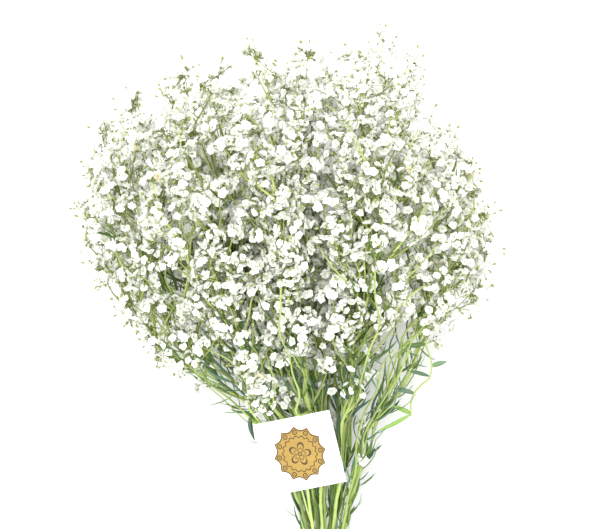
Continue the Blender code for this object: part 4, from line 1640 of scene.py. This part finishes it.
    def dress(
        self, stem: Stem, seed: int, leafy: Material, petal: Material
    ) -> list[Piece]:
        """Builds one stem.

        Args:
            stem: The grown stem.
            seed: The seed of its small differences.
            leafy: The finish of its green parts.
            petal: The finish of its petals.

        Returns:
            The green piece and the piece of florets.
        """
        rng = np.random.default_rng(seed)
        green, white = Surface(f"{stem.name}_green"), Surface(f"{stem.name}_florets")
        green.add(self.leader(stem, rng.uniform(*self.stem_tone)))
        for points, radii in stem.twigs:
            tone = rng.uniform(*self.stem_tone)
            green.add(self.stalk(points, radii * self.twig_slimness, self.twig_step, 5, tone))
        for runner in stem.runners:
            radii = np.linspace(*self.runner_radii, len(runner))
            green.add(self.stalk(runner, radii, self.twig_step, 6))
        if stem.bent_shoot is not None:
            radii = np.full(len(stem.bent_shoot), self.bent_radius)
            green.add(self.stalk(stem.bent_shoot, radii, self.bent_step, 6))
        self.foliage(green, stem, rng)
        self.bracts(green, stem, rng)
        cymes = Spray(*map(np.array, zip(*map(astuple, stem.cymes))))
        self.florets(green, white, cymes, self.cyme_florets, rng)
        self.florets(green, white, self.side_sprays(green, stem, rng), self.side_florets, rng)
        self.florets(green, white, self.shoot_sprays(green, stem, rng), self.shoot_florets, rng)
        for single in stem.singles:
            green.add(self.stalk(single, np.array(self.single_radii), self.twig_step, 5))
            way, radius = unit(single[-1:] - single[-2:-1]), np.array([self.single_radius])
            spray = Spray(single[-1:], way, radius, np.zeros(1))
            self.florets(green, white, spray, self.single_florets, rng)
        self.fringe(green, cymes, rng)
        self.settle(green)
        self.settle(white)
        return [green.build(leafy), white.build(petal, rounded=False)]


@dataclass(frozen=True)
class Value:
    """A number in a shader: a socket that reckons with numbers and others by the usual signs."""

    recipe: "Recipe"
    socket: bpy.types.NodeSocket

    def of(self, operation: str, *others: "Value | float") -> "Value":
        """The result of a named operation on this value and others."""
        inputs = dict(enumerate((self, *others)))
        return self.recipe.node("ShaderNodeMath", {"operation": operation}, inputs)

    def __add__(self, other: "Value | float") -> "Value":
        """This value plus another."""
        return self.of("ADD", other)

    def __sub__(self, other: "Value | float") -> "Value":
        """This value less another."""
        return self.of("SUBTRACT", other)

    def __rsub__(self, other: float) -> "Value":
        """A number less this value."""
        return self.of("MULTIPLY", -1.0).of("ADD", other)

    def __mul__(self, other: "Value | float") -> "Value":
        """This value times another."""
        return self.of("MULTIPLY", other)

    def __truediv__(self, other: "Value | float") -> "Value":
        """This value over another."""
        return self.of("DIVIDE", other)

    def __pow__(self, other: float) -> "Value":
        """This value to a power."""
        return self.of("POWER", other)

    def __lt__(self, other: "Value | float") -> "Value":
        """1 where this value is less than another, else 0."""
        return self.of("LESS_THAN", other)

    def __abs__(self) -> "Value":
        """This value without its sign."""
        return self.of("ABSOLUTE")

    __radd__ = __add__
    __rmul__ = __mul__


class Recipe:
    """A material in the making, whose nodes feed one shader."""

    def __init__(self, name: str) -> None:
        """Starts the material with its shader alone.

        Args:
            name: The material's name.
        """
        self.material = bpy.data.materials.new(name)
        self.material.use_nodes = True
        self.tree = self.material.node_tree
        self.shader = self.tree.nodes["Principled BSDF"]

    def node(
        self,
        kind: str,
        settings: dict | None = None,
        inputs: dict | None = None,
        out: int | str = 0,
    ) -> Value:
        """Adds a node.

        Args:
            kind: The node's type.
            settings: Its own settings, made first.
            inputs: A number, a tuple or a value for each named socket.
            out: Which output is wanted.

        Returns:
            That output.
        """
        made = self.tree.nodes.new(kind)
        for key, setting in (settings or {}).items():
            setattr(made, key, setting)
        for key, given in (inputs or {}).items():
            self.put(made.inputs[key], given)
        return Value(self, made.outputs[out])

    def put(self, socket: bpy.types.NodeSocket, given: object) -> None:
        """Links a value to a socket, or sets a number or a tuple on it.

        Args:
            socket: The socket.
            given: What it gets.
        """
        if isinstance(given, Value):
            self.tree.links.new(given.socket, socket)
        else:
            socket.default_value = given

    def here(self) -> Value:
        """The place on the object, in metres."""
        return self.node("ShaderNodeTexCoord", out="Object")

    def noise(self, place: Value, size: float, detail: float = 2.0) -> Value:
        """A cloudy value from 0 to 1 whose clouds are about the given size."""
        inputs = {"Vector": place, "Scale": 1.0 / size, "Detail": detail}
        return self.node("ShaderNodeTexNoise", inputs=inputs, out="Fac")

    def mix(self, share: Value, low: object, high: object) -> Value:
        """A colour between two, by a share from 0 to 1."""
        settings = {"data_type": "RGBA"}
        return self.node("ShaderNodeMix", settings, {"Factor": share, 6: low, 7: high}, out=2)

    def blend(self, share: Value, low: str, high: str) -> Value:
        """A colour between two screen colours, by a share from 0 to 1."""
        return self.mix(share, (*linear(low), 1.0), (*linear(high), 1.0))

    def dimmed(self, colour: Value, share: Value) -> Value:
        """A colour times a value."""
        inputs = {0: colour, "Scale": share}
        return self.node("ShaderNodeVectorMath", {"operation": "SCALE"}, inputs)

    def relief(self, height: Value, depth: float, strength: float) -> None:
        """Gives the shader's surface a relief of the given depth."""
        inputs = {"Height": height, "Distance": depth, "Strength": strength}
        self.shade(Normal=self.node("ShaderNodeBump", inputs=inputs))

    def shade(self, **inputs: object) -> None:
        """Feeds the shader's own sockets, whose names have _ for a space."""
        for key, given in inputs.items():
            self.put(self.shader.inputs[key.replace("_", " ")], given)


@dataclass(frozen=True)
class Living:
    """A plant's skin, coloured by its organs, with fine mottling."""

    name: str
    roughness: float
    mottle: float
    fine: float = 0.0012
    broad: float = 0.030
    roughness_spread: float = 0.2
    relief_depth: float = 0.0002
    relief: float = 0.25

    def make(self) -> Material:
        """Makes the material.

        Returns:
            The material.
        """
        recipe = Recipe(self.name)
        place = recipe.here()
        fine, broad = recipe.noise(place, self.fine, 3.0), recipe.noise(place, self.broad)
        tint = recipe.node("ShaderNodeAttribute", {"attribute_name": "tint"}, out="Color")
        shade = (fine - 0.5) * self.mottle + (broad - 0.5) * self.mottle + 1.0
        roughness = fine * self.roughness_spread + (self.roughness - self.roughness_spread / 2)
        recipe.shade(Base_Color=recipe.dimmed(tint, shade), Roughness=roughness)
        recipe.relief(fine, self.relief_depth, self.relief)
        return recipe.material


@dataclass(frozen=True)
class Grained:
    """A surface in two near colours with a fine grain: twine, card or painted floor."""

    name: str
    dark: str
    light: str
    grain: float
    roughness: float
    roughness_spread: float
    relief_depth: float = 0.0001
    relief: float = 0.08

    def make(self) -> Material:
        """Makes the material.

        Returns:
            The material.
        """
        recipe = Recipe(self.name)
        grain = recipe.noise(recipe.here(), self.grain, 4.0)
        recipe.shade(Base_Color=recipe.blend(grain, self.dark, self.light))
        recipe.shade(Roughness=grain * self.roughness_spread + self.roughness)
        recipe.relief(grain, self.relief_depth, self.relief)
        return recipe.material


TWINE = Grained("jute", "8a6a3c", "c9a66b", 0.0005, 0.75, 0.20, relief_depth=0.0003, relief=0.60)
PAPER = Grained("card_paper", "f2f2ee", "fbfbf9", 0.0008, 0.68, 0.15)
PAINT = Grained("floor_paint", "f6f6f6", "fbfbfb", 0.0500, 0.68, 0.15)


@dataclass(frozen=True)
class Foil:
    """Gold foil with a drawing in dark lines: a scalloped rim, beads, waves and a flower.

    The drawing reckons in shares of the emblem's half width and height: how far a point is
    from the middle, and its angle. A line is where that reach is within the line's width of a
    curve's own reach at that angle. The strokes are the curves' widths in lines.
    """

    lobes: int
    lobe_depth: float
    name: str = "gold_foil"
    light: str = "c2a253"
    dark: str = "a28240"
    ink: str = "4a3324"
    ink_share: float = 0.95
    line: float = 0.030
    rim: float = 0.97
    beads: float = 0.80
    bead: float = 0.075
    bead_dot: float = 0.022
    waves: int = 18
    wave: Pair = (0.58, 0.08)
    petals: int = 5
    petal: Pair = (0.06, 0.34)
    petal_roundness: float = 0.6
    inner_petal: float = 0.55
    strokes: Row = (0.8, 0.6, 0.7, 1.3, 0.5, 0.6)
    cloud: float = 0.012
    metallic: float = 0.25
    roughness: float = 0.42

    def make(self) -> Material:
        """Makes the material.

        Returns:
            The material.
        """
        recipe = Recipe(self.name)
        drawing = recipe.node("ShaderNodeAttribute", {"attribute_name": "drawing"}, out="Vector")
        across, up = (
            recipe.node("ShaderNodeSeparateXYZ", inputs={0: drawing}, out=axis) for axis in (0, 1)
        )
        reach = (across**2.0 + up**2.0) ** 0.5
        angle = up.of("ARCTAN2", across)
        rim = 1.0 - abs((angle * (self.lobes / 2)).of("SINE")) * self.lobe_depth
        lobe = 2 * math.pi / self.lobes
        around = ((angle * (1 / lobe) + 0.5).of("FRACT") - 0.5) * lobe
        beads = ((reach - self.beads) ** 2.0 + (around * reach) ** 2.0) ** 0.5
        waves = abs((angle * (self.waves / 2)).of("SINE")) * self.wave[1] + self.wave[0]
        flower = abs((angle * (self.petals / 2)).of("COSINE")) ** self.petal_roundness
        petals = flower * self.petal[1] + self.petal[0]
        curves = (
            reach / rim - self.rim,
            beads - self.bead,
            reach - waves,
            reach - petals,
            reach - petals * self.inner_petal,
            reach - self.petal[0],
        )
        ink = beads < self.bead_dot
        for curve, stroke in zip(curves, self.strokes):
            ink = ink.of("MAXIMUM", abs(curve) < self.line * stroke)
        cloud = recipe.noise(recipe.here(), self.cloud, 3.0)
        gold = recipe.blend(cloud, self.dark, self.light)
        colour = recipe.mix(ink * self.ink_share, gold, (*linear(self.ink), 1.0))
        recipe.shade(Base_Color=colour, Metallic=(1.0 - ink) * self.metallic)
        recipe.shade(Roughness=cloud * 0.1 + ink * 0.2 + self.roughness)
        return recipe.material


@dataclass
class Tie:
    """Three turns of two-ply twine round the stems, and their knot."""

    growth: Growth
    shift: Array
    turns: int = 3
    twine_radius: float = 0.0012
    clearance: float = 0.0003
    ply_radius: float = 0.00066
    ply_offset: float = 0.00060
    twists: int = 26
    steps: int = 208
    knot_radius: float = 0.0036
    knot_strand: float = 0.0011
    stem_slimness: float = 0.88
    evening: int = 12

    def girth(self) -> tuple[Array, Array]:
        """The line that the twine follows, drawn tight round the stems in their cross-section.

        In each direction it stands as far out as the farthest stem reaches that way, plus the
        twine's radius. A point of it is that reach along the direction, plus the reach's rate
        of change square to it. The reach is evened out over a few directions.

        Returns:
            The directions, and the line's points, as point by sideways and upward.
        """
        outline = self.growth.outline
        wide = 1.0 + outline.cut_splay * 2 * self.turns * self.twine_radius / outline.cut_length
        stems = self.growth.seeds * (outline.tie_half_width, outline.tie_half_depth) * wide
        t = np.arange(self.steps) * 2 * math.pi / self.steps
        out, on = np.stack([np.cos(t), np.sin(t)], -1), np.stack([-np.sin(t), np.cos(t)], -1)
        radii = self.growth.radii * self.stem_slimness
        reach = (out @ stems.T + radii).max(axis=1) + self.twine_radius
        for _ in range(self.evening):
            reach = (np.roll(reach, 1) + 2 * reach + np.roll(reach, -1)) / 4
        change = (np.roll(reach, -1) - np.roll(reach, 1)) * self.steps / (4 * math.pi)
        return out, reach[:, None] * out + change[:, None] * on

    def rings(self) -> Array:
        """The plies' middle lines.

        A turn follows the girth in a plane that leans as the stems do. Each of its two plies
        winds round that line: its distance from it, the ply's offset, turns once for each
        twist.

        Returns:
            The paths, closed, as ply by point by coordinate.
        """
        lean = unit(np.array((0.0, 1.0, self.growth.outline.lean)))
        plane = np.array(((1.0, 0.0, 0.0), (0.0, -lean[2], lean[1])))
        out, line = (np.concatenate([part, part[:1]]) @ plane for part in self.girth())
        t = np.linspace(0.0, 2 * math.pi, self.steps + 1)
        found = []
        for turn in range(self.turns):
            along = -(self.turns * self.twine_radius + self.clearance)
            along += (2 * turn + 1 - self.turns) * self.twine_radius
            for ply in (0.0, math.pi):
                wound = self.twists * t + ply + turn
                offset = np.cos(wound)[:, None] * out + np.sin(wound)[:, None] * lean
                found.append(line + lean * along + offset * self.ply_offset + self.shift)
        return np.array(found)

    def knot(self) -> Array:
        """The knot's middle line: a trefoil that lies on the turns, seen from above.

        With t round once, it is (sin t + 2 sin 2t, cos t - 2 cos 2t, -1.4 sin 3t) over 3.

        Returns:
            The points.
        """
        middle = -(self.turns * self.twine_radius + self.clearance)
        line = self.girth()[1]
        side, top = line[line[:, 1].argmax()]
        t = np.linspace(0.0, 2 * math.pi, 90)
        x, y = np.sin(t) + 2 * np.sin(2 * t), np.cos(t) - 2 * np.cos(2 * t)
        loop = np.stack([x, y, -1.4 * np.sin(3 * t)], axis=-1)
        height = self.growth.outline.lean * middle + top + self.knot_strand
        place = np.array((side, middle, height)) + self.shift
        return loop / 3 * (self.knot_radius - self.knot_strand) + place

    def build(self, finish: Material) -> Piece:
        """Makes the tie one piece.

        Args:
            finish: The material.

        Returns:
            The tie's object.
        """
        plies, knot = self.rings(), self.knot()
        white = np.ones(3)
        surface = Surface("twine_tie_plies")
        surface.add(tubes(plies, np.full(plies.shape[:2], self.ply_radius), 6, white, white))
        surface.add(tubes(knot[None], np.full((1, len(knot)), self.knot_strand), 8, white, white))
        return surface.build(finish)


@dataclass
class Card:
    """The square card that leans on the stems, with its emblem."""

    middle: Array
    width: float = 0.067
    height: float = 0.0715
    thickness: float = 0.0008
    turn: float = 12.5
    rise: float = 0.42
    corner: float = 0.0010
    edge: float = 0.00012
    clear: float = 0.010
    emblem_half: Pair = (0.0225, 0.0270)
    emblem_thickness: float = 0.0006
    emblem_gap: float = 0.0001
    emblem_edge: float = 0.00015
    lobes: int = 12
    lobe_depth: float = 0.13

    def placed(self, flat: Array) -> Array:
        """Points of the card's own plane, turned in it, tilted with it and set on the stems.

        Args:
            flat: The points, with their height over the plane.

        Returns:
            The points in the frame.
        """
        spin, tilt = math.radians(self.turn), math.atan(self.rise)
        x = flat[:, 0] * math.cos(spin) - flat[:, 1] * math.sin(spin)
        y = flat[:, 0] * math.sin(spin) + flat[:, 1] * math.cos(spin)
        z = flat[:, 2]
        back, up = y * math.cos(tilt) - z * math.sin(tilt), y * math.sin(tilt) + z * math.cos(tilt)
        return np.stack([x, back, up], axis=-1) + self.middle

    def covers(self, points: Array) -> bool:
        """Whether any of some points would stand in front of the card, seen from above.

        Args:
            points: The points, in the frame.

        Returns:
            Whether any would.
        """
        spin = math.radians(self.turn)
        x, y, z = (points - self.middle).T
        across = np.abs(x * math.cos(spin) + y * math.sin(spin))
        upward = np.abs(y * math.cos(spin) - x * math.sin(spin))
        beside = np.maximum(across - self.width / 2, upward - self.height / 2)
        return bool(((beside < self.clear) & (z > self.rise * y - self.clear)).any())

    def slab(
        self, name: str, rim: Array, low: float, high: float, bevel: float
    ) -> tuple[Surface, Array]:
        """A flat slab with a rounded edge, inside a rim.

        Args:
            name: The piece's name.
            rim: The rim's points, counter-clockwise.
            low: The underside's height over the card's middle.
            high: The upper side's height.
            bevel: How much the edge is rounded.

        Returns:
            The surface, and its points before they are placed.
        """
        count = len(rim)
        inward = rim * (1.0 - bevel / np.linalg.norm(rim, axis=1, keepdims=True))
        levels = (
            (inward * 0.5, low), (inward, low), (rim, low + bevel),
            (rim, high - bevel), (inward, high), (inward * 0.5, high),
        )
        rings = [np.column_stack([outline, np.full(count, level)]) for outline, level in levels]
        middles = [np.array([[0.0, 0.0, low]]), np.array([[0.0, 0.0, high]])]
        flat = np.concatenate([*rings, *middles])
        surface = Surface(name)
        surface.add(Patch(self.placed(flat), *skin(len(levels), count), np.ones((len(flat), 3))))
        return surface, flat

    def build(self, finish: Material) -> Piece:
        """Makes the card.

        Args:
            finish: The material.

        Returns:
            The card's object.
        """
        corners = np.array([(1, -1), (1, 1), (-1, 1), (-1, -1)]) * (self.width / 2, self.height / 2)
        rim = []
        for index, corner in enumerate(corners):
            centre = corner - np.sign(corner) * self.corner
            for angle in np.radians(np.linspace(0.0, 90.0, 5) + 90.0 * (index - 1)):
                rim.append(centre + self.corner * np.array((math.cos(angle), math.sin(angle))))
        half = self.thickness / 2
        surface, _ = self.slab("card_sheet", np.array(rim), -half, half, self.edge)
        return surface.build(finish, rounded=False)

    def emblem(self, finish: Material) -> Piece:
        """Makes the emblem, whose points keep their place in its drawing.

        The rim is 1 less the lobe's depth times the size of the sine of half the lobes times
        the angle, in shares of the half width and half height.

        Args:
            finish: The material.

        Returns:
            The emblem's object.
        """
        angles = np.arange(self.lobes * 12) * 2 * math.pi / (self.lobes * 12)
        reach = 1.0 - self.lobe_depth * np.abs(np.sin(angles * self.lobes / 2))
        half = np.array(self.emblem_half)
        rim = np.stack([np.cos(angles), np.sin(angles)], axis=-1) * reach[:, None] * half
        low = self.thickness / 2 + self.emblem_gap
        high = low + self.emblem_thickness
        surface, flat = self.slab("card_emblem_foil", rim, low, high, self.emblem_edge)
        made = surface.build(finish, rounded=False)
        drawing = made.data.attributes.new("drawing", "FLOAT_VECTOR", "POINT")
        shares = np.column_stack([flat[:, :2] / half, np.zeros(len(flat))])
        drawing.data.foreach_set("vector", shares.astype(np.float32).ravel())
        return made


@dataclass
class Studio:
    """The floor, the light and the camera that looks down on the bunch."""

    aim: Array
    focus_height: float = 0.10
    frame_width: float = 0.510
    lens: float = 100.0
    sensor: float = 36.0
    floor_half: float = 3.0
    surround: float = 1.50
    lamp: float = 1.25
    lamp_softness: float = 35.0
    lamp_tilt: tuple[float, float, float] = (-16.0, -14.0, 0.0)

    def floor(self, finish: Material) -> None:
        """Makes the plain pale floor.

        Args:
            finish: The material.
        """
        corners = np.array([(-1, -1, 0), (1, -1, 0), (1, 1, 0), (-1, 1, 0)]) * self.floor_half
        mesh = bpy.data.meshes.new("floor")
        mesh.from_pydata(corners.tolist(), [], [(0, 1, 2, 3)])
        mesh.materials.append(finish)
        made = linked("floor", mesh)

    def light(self) -> None:
        """Makes a white surround and one soft lamp high up at the left."""
        world = bpy.data.worlds.new("surround")
        bpy.context.scene.world = world
        world.use_nodes = True
        background = world.node_tree.nodes["Background"]
        background.inputs["Color"].default_value = (1.0, 1.0, 1.0, 1.0)
        background.inputs["Strength"].default_value = self.surround
        lamp = bpy.data.lights.new("softbox", "SUN")
        lamp.energy = self.lamp
        lamp.angle = math.radians(self.lamp_softness)
        made = linked("softbox", lamp)
        made.rotation_euler = [math.radians(angle) for angle in self.lamp_tilt]
        bpy.context.scene.view_settings.view_transform = "Standard"

    def camera(self) -> None:
        """Makes the camera, straight above the place that the picture shows."""
        view = bpy.data.cameras.new("camera")
        view.lens, view.sensor_width = self.lens, self.sensor
        made = linked("camera", view)
        away = self.frame_width * self.lens / self.sensor
        made.location = (*self.aim, self.focus_height + away)
        bpy.context.scene.camera = made


def hand_in(piece: Piece, node: str, slot: Slot) -> None:
    """Makes a piece ride on the bunch and stand for its node, whose solid it hides, and logs its
    triangles.

    Args:
        piece: The piece.
        node: The node's name.
        slot: The slot; not used.
    """
    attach(piece, "root")
    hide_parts(node)
    triangles = sum(len(face.vertices) - 2 for face in piece.data.polygons)
    log.info("%s: %d triangles", piece.name, triangles)


def main() -> None:
    """Builds the bunch, its tie, its card and the studio, in that order."""
    logging.basicConfig(level=logging.INFO, format="%(message)s")
    growth = Growth()
    middle = (np.array(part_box("card")[0]) + np.array(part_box("card")[1])) / 2
    shift = np.array((*(middle[:2] - growth.card_centre), -growth.floor))
    card = Card(middle)
    dresser = Dresser(shift, card, float(cad_high[2]) + HEADROOM)
    leafy = Living("leafy_green", roughness=0.55, mottle=0.30).make()
    petal = Living("white_petal", roughness=0.70, mottle=0.06).make()
    for index, stem in enumerate(growth.stems()):
        for piece in dresser.dress(stem, DRESS_SEED + index, leafy, petal):
            hand_in(piece, stem.name, Slot.PLANT)
    hand_in(Tie(growth, shift).build(TWINE.make()), "twine_tie", Slot.TWINE)
    hand_in(card.build(PAPER.make()), "card", Slot.PAPER)
    foil = Foil(card.lobes, card.lobe_depth)
    hand_in(card.emblem(foil.make()), "card_emblem", Slot.FOIL)
    studio = Studio(shift[:2] + PICTURE_MIDDLE)
    studio.floor(PAINT.make())
    studio.light()
    studio.camera()


if __name__ == "__main__":
    main()
